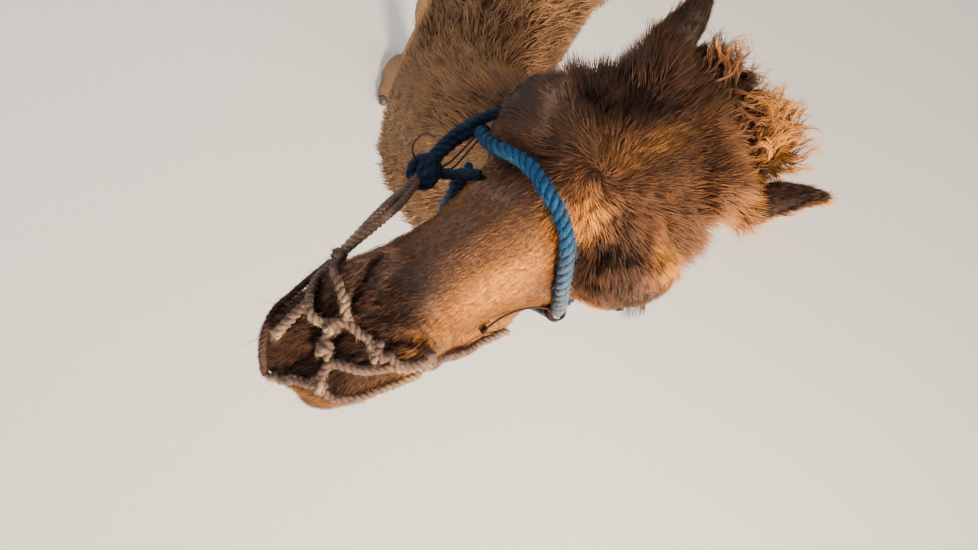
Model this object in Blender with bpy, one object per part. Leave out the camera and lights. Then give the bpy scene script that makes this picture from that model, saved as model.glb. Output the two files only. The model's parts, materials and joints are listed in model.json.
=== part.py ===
"""A life-size dromedary camel that stands still and wears a rope halter, as closed solids.

The camel faces -Y with its left side at +X, and its soles rest on z = 0. Its flesh is modelled
whole, from lofts and rounded forms that melt together in a voxel remesh, and is then parted with
thin cuts into the parts that a person would name. Eyes, ears, nails and halter are pieces of
their own. The flesh has the outline of the coat's tips. All sizes are in metres.
"""

import math

import bmesh
import bpy
import numpy as np
from mathutils import Matrix, Vector
from mathutils.bvhtree import BVHTree

# --- Driving dimensions -------------------------------------------------------------------------
WITHERS_HEIGHT = 1.80
HUMP_HEIGHT = 2.07
CHEST_FRONT = -0.76
RUMP_REAR = 0.80

POLL = Vector((0.085, -1.275, 2.000))  # top of the skull between the ears
HEAD_TURN = math.radians(42)  # to the camel's right of its body's axis
HEAD_LIFT = math.radians(14)  # of the muzzle, above the poll's own level line
HEAD_LENGTH = 0.484  # from the poll to the upper lip
JAW_SWING = math.radians(3.5)  # to the camel's left, as it chews

ELBOW_X, FORE_FOOT_X = 0.160, 0.130  # the legs converge a little towards the floor
STIFLE_X, HIND_FOOT_X = 0.165, 0.150
FORE_FOOT_Y, HIND_FOOT_Y = -0.470, 0.548
LEG_PIVOT_HEIGHT = 1.2  # a leg leans from here down
STRIDES = {("fore", 1): -0.045, ("fore", -1): 0.125, ("hind", 1): 0.055, ("hind", -1): -0.045}
TOES_OUT = {"fore": 6, "hind": 8}  # degrees
FORE_FOOT = (0.098, 0.108, 0.100)  # half width, half length, height of the pad
HIND_FOOT = (0.086, 0.096, 0.090)

EYE_RADIUS = 0.0205
EYE_AT = (0.0940, -0.185, -0.047)  # the left one, in the head's frame
EAR_LENGTH = 0.101
EAR_WALL = 0.007
EAR_ROOTS = {1: (0.094, -0.024, -0.024), -1: (-0.084, -0.021, -0.010)}  # left and right
EAR_DIRECTIONS = {1: (0.46, 0.60, 0.66), -1: (-0.40, 0.74, 0.54)}

NOSEBAND_RADIUS = 0.0088
HEADSTALL_RADIUS = 0.0050
NET_RADIUS = 0.0054
LIP_CORD_RADIUS = 0.0036
THIN_CORD_RADIUS = 0.0018
KNOT = (-0.091, -0.284, -0.084)  # on the right cheek, in the head's frame
ROPE_STEP = 0.009  # between the rings of a short rope's tube
LONG_ROPE_STEP = 0.017
ROPE_CLEARANCE = 0.0018  # between a rope and the flesh that it lies on

CUT_GAP = 0.0004  # between two parts of the flesh
TOUCH_GAP = 0.0005  # between the flesh and a piece that rests on it
BODY_VOXEL = 0.0105
HEAD_VOXEL = 0.0055
BODY_TRIANGLES = 2660
HEAD_TRIANGLES = 1840
NET_TRIANGLES = 1080
KNOT_TRIANGLES = 340

HEAD = Matrix.Translation(POLL)  # the head's own frame: +X to its left, -Y to its muzzle
HEAD = HEAD @ Matrix.Rotation(-HEAD_TURN, 4, "Z") @ Matrix.Rotation(-HEAD_LIFT, 4, "X")

COLOURS = {
    "coat": (0.20, 0.105, 0.055),
    "eye": (0.02, 0.012, 0.008),
    "nail": (0.05, 0.04, 0.035),
    "blue_rope": (0.03, 0.16, 0.42),
    "tan_rope": (0.45, 0.33, 0.24),
    "dark_cord": (0.10, 0.05, 0.04),
}


# --- Small tools --------------------------------------------------------------------------------
def clear_scene():
    """Removes every object that the scene holds."""
    for old in list(bpy.data.objects):
        bpy.data.objects.remove(old)


def spline(rows, count):
    """The rows as a natural cubic spline over the chord length of their first three columns."""
    rows = np.array(rows, float)
    chord = np.linalg.norm(np.diff(rows[:, :3], axis=0), axis=1)
    knots = np.concatenate([[0.0], np.cumsum(chord)])
    size = len(rows)
    matrix, right = np.eye(size), np.zeros_like(rows)
    for i in range(1, size - 1):
        before, after = knots[i] - knots[i - 1], knots[i + 1] - knots[i]
        matrix[i, i - 1 : i + 2] = before, 2 * (before + after), after
        right[i] = 6 * ((rows[i + 1] - rows[i]) / after - (rows[i] - rows[i - 1]) / before)
    curve = np.linalg.solve(matrix, right)
    places = np.linspace(0.0, knots[-1], count)
    index = np.clip(np.searchsorted(knots, places, side="right") - 1, 0, size - 2)
    span = (knots[index + 1] - knots[index])[:, None]
    a = (knots[index + 1] - places)[:, None] / span
    b = 1 - a
    bend = ((a**3 - a) * curve[index] + (b**3 - b) * curve[index + 1]) * span**2 / 6
    return a * rows[index] + b * rows[index + 1] + bend


def ring(half_width, half_depth, sides, square=2.0):
    """Points round a superellipse: 2 is an ellipse, more is squarer."""
    angle = np.arange(sides) * 2 * math.pi / sides
    cos, sin = np.cos(angle), np.sin(angle)
    power = 2 / square
    across = half_width * np.sign(cos) * np.abs(cos) ** power
    along = half_depth * np.sign(sin) * np.abs(sin) ** power
    return across, along


def closed_loft(rings):
    """Vertices and faces of a tube through the rings, with a fan at each end."""
    count, sides = len(rings), len(rings[0])
    points = [tuple(p) for loop in rings for p in loop]
    faces = []
    for i in range(count - 1):
        for j in range(sides):
            k = (j + 1) % sides
            faces.append((i * sides + j, i * sides + k, (i + 1) * sides + k, (i + 1) * sides + j))
    for loop, turn in ((0, -1), (count - 1, 1)):
        centre = len(points)
        points.append(tuple(np.mean(rings[loop], axis=0)))
        for j in range(sides):
            corner, following = loop * sides + j, loop * sides + (j + 1) % sides
            faces.append((corner, following, centre)[::turn])
    return points, faces


def tube(rows, side_start=(1, 0, 0), side_end=None, sides=24, count=40, square=2.0):
    """A loft along rows of x, y, z, half width and half depth. The width runs along the side vectors."""
    rows = spline(rows, count)
    spine = rows[:, :3]
    ahead = np.gradient(spine, axis=0)
    ahead /= np.linalg.norm(ahead, axis=1)[:, None]
    start, end = np.array(side_start, float), np.array(side_end or side_start, float)
    rings = []
    for i, (centre, forward) in enumerate(zip(spine, ahead)):
        share = i / (count - 1)
        side = start * (1 - share) + end * share
        side -= side.dot(forward) * forward
        side /= np.linalg.norm(side)
        depth = np.cross(forward, side)
        across, along = ring(max(rows[i, 3], 0.002), max(rows[i, 4], 0.002), sides, square)
        rings.append(centre + across[:, None] * side + along[:, None] * depth)
    return closed_loft(rings)


def hull(rows, sides=28, count=48, square=2.2, narrow_top=0.12):
    """A loft along y, from rows of y, half width, top and bottom: a trunk, a skull or a jaw."""
    stations = spline([(0, y, 0, width, top, bottom) for y, width, top, bottom in rows], count)
    rings = []
    for _, y, _, width, top, bottom in stations:
        across, along = ring(max(width, 0.003), 1.0, sides, square)
        across = across * (1 - narrow_top * along)
        height = (top + bottom) / 2 + along * (top - bottom) / 2
        rings.append(np.stack([across, np.full(sides, y), height], axis=1))
    return closed_loft(rings)


def ball(centre, radii, turn=(0, 0, 0), segments=20):
    """An ellipsoid, turned by Euler angles in degrees."""
    matrix = Matrix.Translation(centre)
    for axis, angle in zip("ZYX", turn[::-1]):
        matrix = matrix @ Matrix.Rotation(math.radians(angle), 4, axis)
    matrix = matrix @ Matrix.Diagonal((*radii, 1))
    shape = bmesh.new()
    bmesh.ops.create_uvsphere(shape, u_segments=segments, v_segments=segments // 2, radius=1, matrix=matrix)
    points = [tuple(v.co) for v in shape.verts]
    faces = [tuple(v.index for v in f.verts) for f in shape.faces]
    shape.free()
    return points, faces


def pair(centre, radii, turn=(0, 0, 0)):
    """The same ball on the left and, mirrored, on the right."""
    x, y, z = centre
    a, b, c = turn
    return [ball((x, y, z), radii, (a, b, c)), ball((-x, y, z), radii, (a, -b, -c))]


def placed(shape, matrix):
    """The shape moved by a matrix."""
    points, faces = shape
    return [tuple(matrix @ Vector(p)) for p in points], faces


def mesh_of(shapes, name):
    """One mesh that holds every shape, with its faces turned outwards."""
    mesh = bpy.data.meshes.new(name)
    points, faces = [], []
    for shape_points, shape_faces in shapes:
        offset = len(points)
        points += shape_points
        faces += [tuple(i + offset for i in face) for face in shape_faces]
    mesh.from_pydata(points, [], faces)
    shape = bmesh.new()
    shape.from_mesh(mesh)
    bmesh.ops.recalc_face_normals(shape, faces=shape.faces)
    shape.to_mesh(mesh)
    shape.free()
    return mesh


def object_of(mesh, name):
    """An object in the scene that shows the mesh."""
    made = bpy.data.objects.new(name, mesh)
    bpy.context.scene.collection.objects.link(made)
    return made


def evaluated(helper, name):
    """The helper's mesh with its modifiers applied. The helper is removed."""
    bpy.context.view_layer.update()
    graph = bpy.context.evaluated_depsgraph_get()
    mesh = bpy.data.meshes.new_from_object(helper.evaluated_get(graph))
    mesh.name = name
    bpy.data.objects.remove(helper)
    return mesh


def melted(shapes, voxel, smoothing, triangles, name):
    """The shapes melted into one smooth skin of about so many triangles."""
    helper = object_of(mesh_of(shapes, name), name)
    remesh = helper.modifiers.new("Melt", "REMESH")
    remesh.mode = "VOXEL"
    remesh.voxel_size = voxel
    smooth = helper.modifiers.new("Soften", "SMOOTH")
    smooth.factor = 0.5
    smooth.iterations = smoothing
    fine = evaluated(helper, name)
    fine.calc_loop_triangles()
    helper = object_of(fine, name)
    thin = helper.modifiers.new("Thin", "DECIMATE")
    thin.ratio = triangles / len(fine.loop_triangles)
    thin.use_collapse_triangulate = True
    return evaluated(helper, name)


def kept_side(mesh, point, normal, name):
    """The part of a closed mesh on the plane's far side, half a gap from it, with its cut filled."""
    normal = Vector(normal).normalized()
    shape = bmesh.new()
    shape.from_mesh(mesh)
    bmesh.ops.bisect_plane(
        shape,
        geom=shape.verts[:] + shape.edges[:] + shape.faces[:],
        plane_co=Vector(point) + normal * CUT_GAP / 2,
        plane_no=normal,
        clear_inner=True,
    )
    bmesh.ops.holes_fill(shape, edges=[e for e in shape.edges if e.is_boundary], sides=0)
    bmesh.ops.triangulate(shape, faces=[f for f in shape.faces if len(f.verts) > 4])
    kept = bpy.data.meshes.new(name)
    shape.to_mesh(kept)
    shape.free()
    return kept


def boolean(mesh, cutter, operation, name):
    """The mesh joined, cut or met by the cutter, a mesh too."""
    helper, other = object_of(mesh, name), object_of(cutter, name + "_cutter")
    modifier = helper.modifiers.new("Cut", "BOOLEAN")
    modifier.operation = operation
    modifier.object = other
    modifier.solver = "EXACT"
    result = evaluated(helper, name)
    bpy.data.objects.remove(other)
    return result


def wedge(low, high, top_slope=(0.0, 0.0)):
    """A box from its low to its high corner, whose top rises by top_slope for each metre of x and y."""
    box = bmesh.new()
    size = Vector(high) - Vector(low)
    matrix = Matrix.Translation((Vector(low) + Vector(high)) / 2) @ Matrix.Diagonal((*size, 1))
    bmesh.ops.create_cube(box, size=1, matrix=matrix)
    for corner in box.verts:
        if corner.co.z > (low[2] + high[2]) / 2:
            from_low = corner.co - Vector(low)
            corner.co.z += from_low.x * top_slope[0] + from_low.y * top_slope[1]
    points = [tuple(v.co) for v in box.verts]
    faces = [tuple(v.index for v in f.verts) for f in box.faces]
    box.free()
    return points, faces


def slab(profile, low, high):
    """A prism along x from low to high, over a convex profile of y and z."""
    rings = [np.array([(x, y, z) for y, z in profile]) for x in (low, high)]
    return closed_loft(rings)


def grown(mesh, distance, name):
    """A copy of the mesh with every vertex moved out along its normal."""
    copy = mesh.copy()
    copy.name = name
    for vertex, normal in zip(copy.vertices, [v.normal.copy() for v in mesh.vertices]):
        vertex.co += normal * distance
    return copy


def islands(mesh, least=0.0):
    """The mesh's separate bodies, each as its own mesh, without those smaller than least across."""
    shape = bmesh.new()
    shape.from_mesh(mesh)
    left, found = set(shape.faces), []
    while left:
        group, edge_of_group = set(), [left.pop()]
        while edge_of_group:
            face = edge_of_group.pop()
            group.add(face)
            for edge in face.edges:
                for near in edge.link_faces:
                    if near in left:
                        left.remove(near)
                        edge_of_group.append(near)
        corners = {v: i for i, v in enumerate({v for f in group for v in f.verts})}
        body = bpy.data.meshes.new(mesh.name)
        body.from_pydata(
            [tuple(v.co) for v in corners], [], [tuple(corners[v] for v in f.verts) for f in group]
        )
        places = np.array([tuple(v.co) for v in corners])
        if np.ptp(places, axis=0).max() > least:
            found.append(body)
    shape.free()
    return found


# --- The forms of the flesh ---------------------------------------------------------------------
def trunk_forms():
    """The barrel, the shoulders, the haunches, the hump and the pad under the breast."""
    barrel = hull(
        [
            (CHEST_FRONT + 0.02, 0.060, 1.50, 1.30),
            (CHEST_FRONT + 0.07, 0.135, 1.62, 1.19),
            (-0.55, 0.190, 1.74, 1.10),
            (-0.36, 0.225, WITHERS_HEIGHT, 1.045),
            (-0.14, 0.262, WITHERS_HEIGHT + 0.01, 1.045),
            (0.08, 0.285, 1.80, 1.080),
            (0.28, 0.268, 1.775, 1.145),
            (0.44, 0.225, 1.745, 1.215),
            (0.58, 0.195, 1.705, 1.265),
            (0.70, 0.155, 1.635, 1.300),
            (RUMP_REAR - 0.02, 0.070, 1.540, 1.380),
        ],
        narrow_top=0.20,
    )
    hump = [
        ball((0, 0.03, 1.715), (0.215, 0.46, 0.125)),
        ball((0, 0.04, 1.735), (0.180, 0.405, 0.185)),
        ball((0, 0.05, 1.775), (0.160, 0.320, 0.225)),
        ball((0, 0.07, 1.850), (0.118, 0.215, HUMP_HEIGHT - 1.850)),
    ]
    shoulders = pair((0.140, -0.46, 1.38), (0.085, 0.165, 0.290), (-14, 8, 0))
    upper_arms = pair((0.155, -0.46, 1.21), (0.082, 0.145, 0.175), (24, 0, 0))
    haunches = pair((0.120, 0.54, 1.47), (0.105, 0.200, 0.230), (18, 8, 0))
    hips = pair((0.125, 0.40, 1.66), (0.050, 0.080, 0.060), (0, 0, 0))
    pad = ball((0, -0.315, 1.035), (0.085, 0.105, 0.050))
    return [barrel, *hump, *shoulders, *upper_arms, *haunches, *hips, pad]


def neck_form():
    """The neck: down from the shoulders, round its low bend, and up to the back of the skull."""
    low = [
        (0.000, -0.28, 1.500, 0.145, 0.245),
        (0.000, -0.52, 1.460, 0.150, 0.245),
        (-0.026, -0.74, 1.375, 0.145, 0.210),
        (-0.066, -0.93, 1.325, 0.139, 0.180),
        (-0.086, -1.08, 1.370, 0.131, 0.158),
        (-0.060, -1.178, 1.500, 0.120, 0.140),
        (0.006, -1.230, 1.630, 0.102, 0.118),
    ]
    at_throat = HEAD @ Vector((0, 0.045, -0.225))
    at_skull = HEAD @ Vector((0, 0.016, -0.115))
    inside = HEAD @ Vector((0, -0.020, -0.070))
    high = [(*at_throat, 0.086, 0.100), (*at_skull, 0.078, 0.086), (*inside, 0.055, 0.060)]
    left_of_head = HEAD.to_3x3() @ Vector((1, 0, 0))
    return tube(low + high, (1, 0, 0), tuple(left_of_head), sides=26, count=46)


def neck_fringe():
    """The longer hair under the throat and along the neck's front, as the coat's outline."""
    return [
        ball((-0.086, -1.122, 1.265), (0.070, 0.110, 0.070), (-42, 0, 0)),
        ball((-0.072, -1.206, 1.430), (0.092, 0.092, 0.150), (-18, 0, 0)),
    ]


def swung(shape):
    """A shape of the lower jaw, swung about the jaw's joint."""
    joint = Matrix.Translation((0, -0.08, 0))
    return placed(shape, joint @ Matrix.Rotation(JAW_SWING, 4, "Z") @ joint.inverted())


def head_forms():
    """Skull, jaw, brows, cheeks, nose and lips, in the head's own frame: muzzle at -Y, poll at 0."""
    skull = hull(
        [
            (0.058, 0.040, -0.045, -0.120),
            (0.028, 0.070, -0.012, -0.140),
            (-0.030, 0.088, 0.008, -0.150),
            (-0.090, 0.093, 0.014, -0.155),
            (-0.150, 0.093, 0.012, -0.155),
            (-0.205, 0.084, 0.004, -0.152),
            (-0.255, 0.065, -0.011, -0.150),
            (-0.310, 0.056, -0.024, -0.146),
            (-0.365, 0.054, -0.033, -0.140),
            (-0.410, 0.053, -0.040, -0.140),
            (-0.445, 0.046, -0.055, -0.140),
            (-0.468, 0.035, -0.074, -0.140),
            (-HEAD_LENGTH, 0.016, -0.098, -0.134),
        ],
        sides=26,
        count=44,
        narrow_top=0.08,
    )
    jaw = hull(
        [
            (0.012, 0.036, -0.110, -0.180),
            (-0.020, 0.058, -0.090, -0.215),
            (-0.070, 0.064, -0.080, -0.230),
            (-0.140, 0.060, -0.095, -0.225),
            (-0.220, 0.050, -0.110, -0.209),
            (-0.300, 0.042, -0.122, -0.196),
            (-0.370, 0.038, -0.130, -0.188),
            (-0.420, 0.036, -0.134, -0.188),
            (-0.448, 0.030, -0.138, -0.184),
            (-0.466, 0.016, -0.148, -0.174),
        ],
        sides=20,
        count=34,
        narrow_top=-0.10,
    )
    chin = ball((0, -0.440, -0.170), (0.031, 0.036, 0.022))
    details = [
        ball((0, -0.176, -0.009), (0.104, 0.052, 0.017)),  # forehead from brow to brow
        *pair((0.090, -0.182, -0.019), (0.028, 0.054, 0.022), (0, 20, -10)),  # brow ridges
        *pair((0.082, -0.187, -0.050), (0.030, 0.046, 0.036)),  # eye mounds
        *pair((0.083, -0.095, -0.055), (0.018, 0.075, 0.019), (0, 0, 5)),  # cheek bones
        *pair((0.055, -0.085, -0.130), (0.034, 0.085, 0.085)),  # jaw muscles
        *pair((0.058, -0.232, -0.084), (0.017, 0.085, 0.034), (0, 0, -13)),  # face crests
        *pair((0.034, -0.402, -0.056), (0.018, 0.040, 0.021), (8, 18, -14)),  # nostril wings
        ball((-0.030, -0.462, -0.102), (0.027, 0.034, 0.042)),  # upper lip's right half
        ball((0.017, -0.446, -0.102), (0.028, 0.034, 0.041)),  # upper lip's left half
        ball((0, -0.300, -0.028), (0.026, 0.110, 0.014), (9, 0, 0)),  # nose bridge
        *pair((0.066, -0.022, -0.008), (0.034, 0.040, 0.030)),  # roots of the ears
    ]
    crown = [
        ball((0.004, 0.022, 0.008), (0.078, 0.056, 0.032), (10, 0, 0)),
        ball((0.014, 0.058, -0.026), (0.070, 0.046, 0.052)),
        ball((0.044, 0.072, -0.004), (0.052, 0.050, 0.036)),
    ]
    return [placed(form, HEAD) for form in (skull, swung(jaw), swung(chin), *details, *crown)]


def stance(end, side, x, y, z):
    """A point of the straight leg, where x is the way out from the leg's line, as the leg stands."""
    lean = max(0.0, 1 - z / LEG_PIVOT_HEIGHT)
    top, foot = (ELBOW_X, FORE_FOOT_X) if end == "fore" else (STIFLE_X, HIND_FOOT_X)
    return (top + (foot - top) * lean + x) * side, y + STRIDES[end, side] * lean, z


def foot_place(end, side):
    """Where a foot stands on the floor, with its toes turned out."""
    at = stance(end, side, 0, FORE_FOOT_Y if end == "fore" else HIND_FOOT_Y, 0)
    return Matrix.Translation(at) @ Matrix.Rotation(math.radians(TOES_OUT[end]) * side, 4, "Z")


def leg_forms(rows, end, side):
    """A leg along its rows, and its two-toed foot. side is 1 on the left and -1 on the right."""
    rows = [(*stance(end, side, x, y, z), width, depth) for x, y, z, width, depth in rows]
    half_width, half_length, height = FORE_FOOT if end == "fore" else HIND_FOOT
    place = foot_place(end, side)
    pad = tube(
        [
            (0, 0.012, -0.030, half_width * 0.94, half_length * 0.92),
            (0, 0.012, 0.004, half_width, half_length),
            (0, 0.014, 0.040, half_width * 0.93, half_length * 0.92),
            (0, 0.022, height * 0.80, half_width * 0.62, half_length * 0.66),
            (0, 0.030, height * 1.35, half_width * 0.42, half_length * 0.44),
        ],
        sides=24,
        count=16,
    )
    toes = []
    for toe in (1, -1):
        centre = (toe * half_width * 0.42, -half_length * 0.66, height * 0.20)
        toes.append(ball(centre, (half_width * 0.46, half_length * 0.56, height * 0.46), (8, 0, toe * 8)))
    return [tube(rows, count=56), *(placed(form, place) for form in (pad, *toes))]


def fore_leg(side):
    """A foreleg: upper arm, forearm, knee, cannon, fetlock and foot."""
    rows = [
        (0.005, -0.45, 1.300, 0.070, 0.120),
        (0.010, -0.42, 1.140, 0.076, 0.118),
        (0.006, -0.405, 1.000, 0.066, 0.098),
        (0.004, -0.415, 0.840, 0.055, 0.072),
        (0.000, -0.425, 0.690, 0.048, 0.057),
        (-0.004, -0.432, 0.595, 0.057, 0.064),
        (-0.004, -0.430, 0.520, 0.052, 0.058),
        (-0.003, -0.420, 0.430, 0.038, 0.045),
        (-0.001, -0.412, 0.300, 0.036, 0.042),
        (0.000, -0.410, 0.215, 0.041, 0.047),
        (0.000, -0.420, 0.165, 0.045, 0.050),
        (0.000, -0.440, 0.100, 0.040, 0.046),
        (0.000, -0.455, 0.050, 0.036, 0.040),
    ]
    knee = ball(stance("fore", side, -0.004, -0.462, 0.560), (0.046, 0.038, 0.068))
    elbow = ball(stance("fore", side, 0.002, -0.335, 1.090), (0.050, 0.060, 0.070))
    return [*leg_forms(rows, "fore", side), knee, elbow]


def hind_leg(side):
    """A hind leg: thigh, stifle, gaskin, hock, cannon, fetlock and foot."""
    rows = [
        (-0.035, 0.56, 1.480, 0.090, 0.185),
        (-0.015, 0.52, 1.330, 0.092, 0.170),
        (0.000, 0.475, 1.180, 0.080, 0.138),
        (0.006, 0.500, 1.030, 0.064, 0.098),
        (0.000, 0.570, 0.880, 0.052, 0.069),
        (-0.008, 0.645, 0.750, 0.043, 0.055),
        (-0.012, 0.688, 0.660, 0.047, 0.064),
        (-0.012, 0.690, 0.590, 0.045, 0.056),
        (-0.009, 0.672, 0.500, 0.035, 0.041),
        (-0.004, 0.640, 0.340, 0.032, 0.037),
        (-0.002, 0.615, 0.220, 0.036, 0.042),
        (-0.001, 0.600, 0.165, 0.040, 0.045),
        (0.000, 0.580, 0.095, 0.036, 0.042),
        (0.000, 0.565, 0.045, 0.032, 0.036),
    ]
    hock = ball(stance("hind", side, -0.012, 0.738, 0.668), (0.028, 0.030, 0.052), (-14, 0, 0))
    stifle = ball(stance("hind", side, 0.002, 0.372, 1.150), (0.058, 0.060, 0.085), (20, 0, 0))
    return [*leg_forms(rows, "hind", side), hock, stifle]


def tail_form():
    """The tail hangs behind the rump and ends in a tuft."""
    rows = [
        (0, RUMP_REAR - 0.10, 1.560, 0.050, 0.042),
        (0, RUMP_REAR + 0.02, 1.520, 0.040, 0.034),
        (0, RUMP_REAR + 0.085, 1.420, 0.029, 0.025),
        (0, RUMP_REAR + 0.105, 1.290, 0.024, 0.021),
        (0, RUMP_REAR + 0.105, 1.160, 0.022, 0.020),
        (0, RUMP_REAR + 0.098, 1.060, 0.032, 0.030),
        (0, RUMP_REAR + 0.090, 0.970, 0.030, 0.028),
        (0, RUMP_REAR + 0.086, 0.905, 0.010, 0.010),
    ]
    return tube(rows, sides=16, count=34)


# --- Parting the flesh --------------------------------------------------------------------------
def part_by(whole, cutter_shape, name):
    """(what lies inside the cutter, what lies outside it), a cut's gap apart."""
    cutter = mesh_of([cutter_shape], name + "_cutter")
    inside = boolean(whole, cutter.copy(), "INTERSECT", name)
    outside = boolean(whole.copy(), grown(cutter, CUT_GAP, name + "_grown"), "DIFFERENCE", whole.name)
    return inside, outside


def largest(mesh):
    """The mesh's biggest body, for a cut that leaves crumbs."""
    return max(islands(mesh), key=lambda body: np.ptp([tuple(v.co) for v in body.vertices], axis=0).sum())


def legs_apart(torso):
    """The four legs and feet by name, and the torso without them."""
    parts = {}
    for side, word in ((1, "left"), (-1, "right")):
        reach = sorted((0.020 * side, 0.45 * side))
        slope = 0.74 * side
        low_side = 0.960 if side > 0 else 0.960 + 0.43 * 0.74
        fore = wedge((reach[0], -0.80, -0.05), (reach[1], -0.12, low_side), (slope, 0.0))
        reach = sorted((0.004 * side, 0.45 * side))
        slope = 0.30 * side
        low_side = 1.035 if side > 0 else 1.035 + 0.446 * 0.30
        hind = wedge((reach[0], 0.16, -0.05), (reach[1], RUMP_REAR + 0.045, low_side), (slope, 0.50))
        for cutter, end, cut_at in ((fore, "fore", 0.122), (hind, "hind", 0.112)):
            name = f"{end}_leg_{word}"
            leg, torso = part_by(torso, cutter, name)
            leg = largest(leg)
            sole = kept_side(leg, (0, 0, -CUT_GAP / 2), (0, 0, 1), name)
            parts[name] = kept_side(sole, (0, 0, cut_at), (0, 0, 1), name)
            parts[f"{end}_foot_{word}"] = kept_side(sole, (0, 0, cut_at), (0, 0, -1), name)
    return parts, torso


def flesh_parts():
    """Every part of the flesh by name, parted from one whole body."""
    neck, head = neck_form(), head_forms()
    body = [*trunk_forms(), neck, *neck_fringe(), *head, tail_form()]
    for side in (1, -1):
        body += [*fore_leg(side), *hind_leg(side)]
    whole = largest(melted(body, BODY_VOXEL, 11, BODY_TRIANGLES, "body"))
    fine = largest(melted([neck, *head], HEAD_VOXEL, 9, HEAD_TRIANGLES, "head"))

    behind_jaw, behind_poll = (-0.060, -0.262), (0.138, 0.070)
    block = [(-0.600, -0.262), behind_jaw, behind_poll, (-0.600, 0.070)]
    head_block = placed(slab(block, -0.20, 0.20), HEAD)
    parts = {"head": largest(part_by(fine, head_block, "head")[0])}
    headless = largest(part_by(whole, head_block, "head_place")[1])

    withers, breast = Vector((0, -0.44, 1.78)), Vector((0, -0.755, 1.285))
    along_neck = Vector((1, 0, 0)).cross(withers - breast)
    if along_neck.y > 0:
        along_neck = -along_neck
    parts["neck"] = kept_side(headless, breast, along_neck, "neck")
    torso = kept_side(headless, breast, -along_neck, "torso")

    legs, torso = legs_apart(torso)
    parts.update(legs)
    tail, torso = part_by(torso, wedge((-0.09, RUMP_REAR + 0.048, 0.85), (0.09, 1.10, 1.60)), "tail")
    parts["tail"] = largest(tail)
    hump, torso = part_by(torso, wedge((-0.40, -0.36, 1.835), (0.40, 0.48, 2.20)), "hump")
    parts["hump"] = largest(hump)
    parts["trunk"] = largest(torso)
    return parts


# --- Eyes, ears and nails -----------------------------------------------------------------------
def eye_meshes(parts):
    """An eyeball in a socket on each side. The sockets are cut from the head."""
    eyes = {}
    for side, word in ((1, "left"), (-1, "right")):
        centre = HEAD @ Vector((EYE_AT[0] * side, EYE_AT[1], EYE_AT[2]))
        eyes[f"eye_{word}"] = mesh_of([ball(centre, (EYE_RADIUS,) * 3, segments=12)], f"eye_{word}")
        socket = mesh_of([ball(centre, (EYE_RADIUS + TOUCH_GAP * 1.4,) * 3, segments=12)], "socket")
        parts["head"] = boolean(parts["head"], socket, "DIFFERENCE", "head")
    return eyes


def cupped_loft(rings):
    """Vertices and faces of a tube through C-shaped rings, closed by a strip between each end's two arcs."""
    points, faces = closed_loft(rings)
    count, sides = len(rings), len(rings[0])
    del points[-2:]
    del faces[-2 * sides :]
    for first, turn in ((0, -1), ((count - 1) * sides, 1)):
        for j in range(sides // 2 - 1):
            corners = (first + j, first + j + 1, first + sides - 2 - j, first + sides - 1 - j)
            faces.append(corners[::turn])
    return points, faces


def ear_shell(side):
    """A cupped leaf with a wall of its own, rooted behind the brow and pointing back and out."""
    root = Vector(EAR_ROOTS[side])
    along = Vector(EAR_DIRECTIONS[side]).normalized()
    mouth = Vector((0.80 * side, -0.45, -0.40))
    mouth = (mouth - mouth.dot(along) * along).normalized()
    across = along.cross(mouth) * side
    steps, spread = 9, 7
    outer, inner = [], []
    for i in range(steps):
        share = i / (steps - 1)
        half = 0.0240 * math.sin(math.pi * (0.12 + 0.79 * share) ** 0.86) ** 0.62 + 0.002
        wrap = math.radians(150 - 62 * share)
        middle = root + along * EAR_LENGTH * share - mouth * 0.010 * share * (1 - share)
        for wall, loop in ((0.0, outer), (EAR_WALL * (1 - 0.30 * share), inner)):
            arc = []
            for j in range(spread):
                turn = wrap * (j / (spread - 1) * 2 - 1)
                reach = max(half - wall, 0.0012)
                arc.append(middle + across * reach * math.sin(turn) - mouth * reach * math.cos(turn))
            loop.append(arc)
    rings = [outer_arc + inner_arc[::-1] for outer_arc, inner_arc in zip(outer, inner)]
    rings = [np.array([tuple(p) for p in loop]) for loop in rings]
    return placed(cupped_loft(rings), HEAD)


def ear_meshes(parts):
    """The two ears, cut off where they meet the head."""
    bulk = grown(parts["head"], TOUCH_GAP, "head_bulk")
    ears = {}
    for side, word in ((1, "left"), (-1, "right")):
        name = f"ear_{word}"
        shell = mesh_of([ear_shell(side)], name)
        ears[name] = largest(boolean(shell, bulk.copy(), "DIFFERENCE", name))
    return ears


def nail_meshes(parts):
    """Two nails on each foot, let into the front of its toes."""
    nails = {}
    for end, foot in (("fore", FORE_FOOT), ("hind", HIND_FOOT)):
        half_width, half_length, height = foot
        for side, word in ((1, "left"), (-1, "right")):
            place = foot_place(end, side)
            foot_name = f"{end}_foot_{word}"
            for toe, toe_word in ((1, "outer"), (-1, "inner")):
                toe_side = toe * side
                centre = Vector((toe_side * half_width * 0.44, -half_length * 1.16, height * 0.30))
                radii = (half_width * 0.21, half_length * 0.17, height * 0.20)
                name = f"{end}_nail_{word}_{toe_word}"
                shape = placed(ball(centre, radii, (-24, 0, 0), segments=8), place)
                nails[name] = mesh_of([shape], name)
                pocket = grown(nails[name], TOUCH_GAP, "pocket")
                parts[foot_name] = largest(boolean(parts[foot_name], pocket, "DIFFERENCE", foot_name))
    return nails


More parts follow.
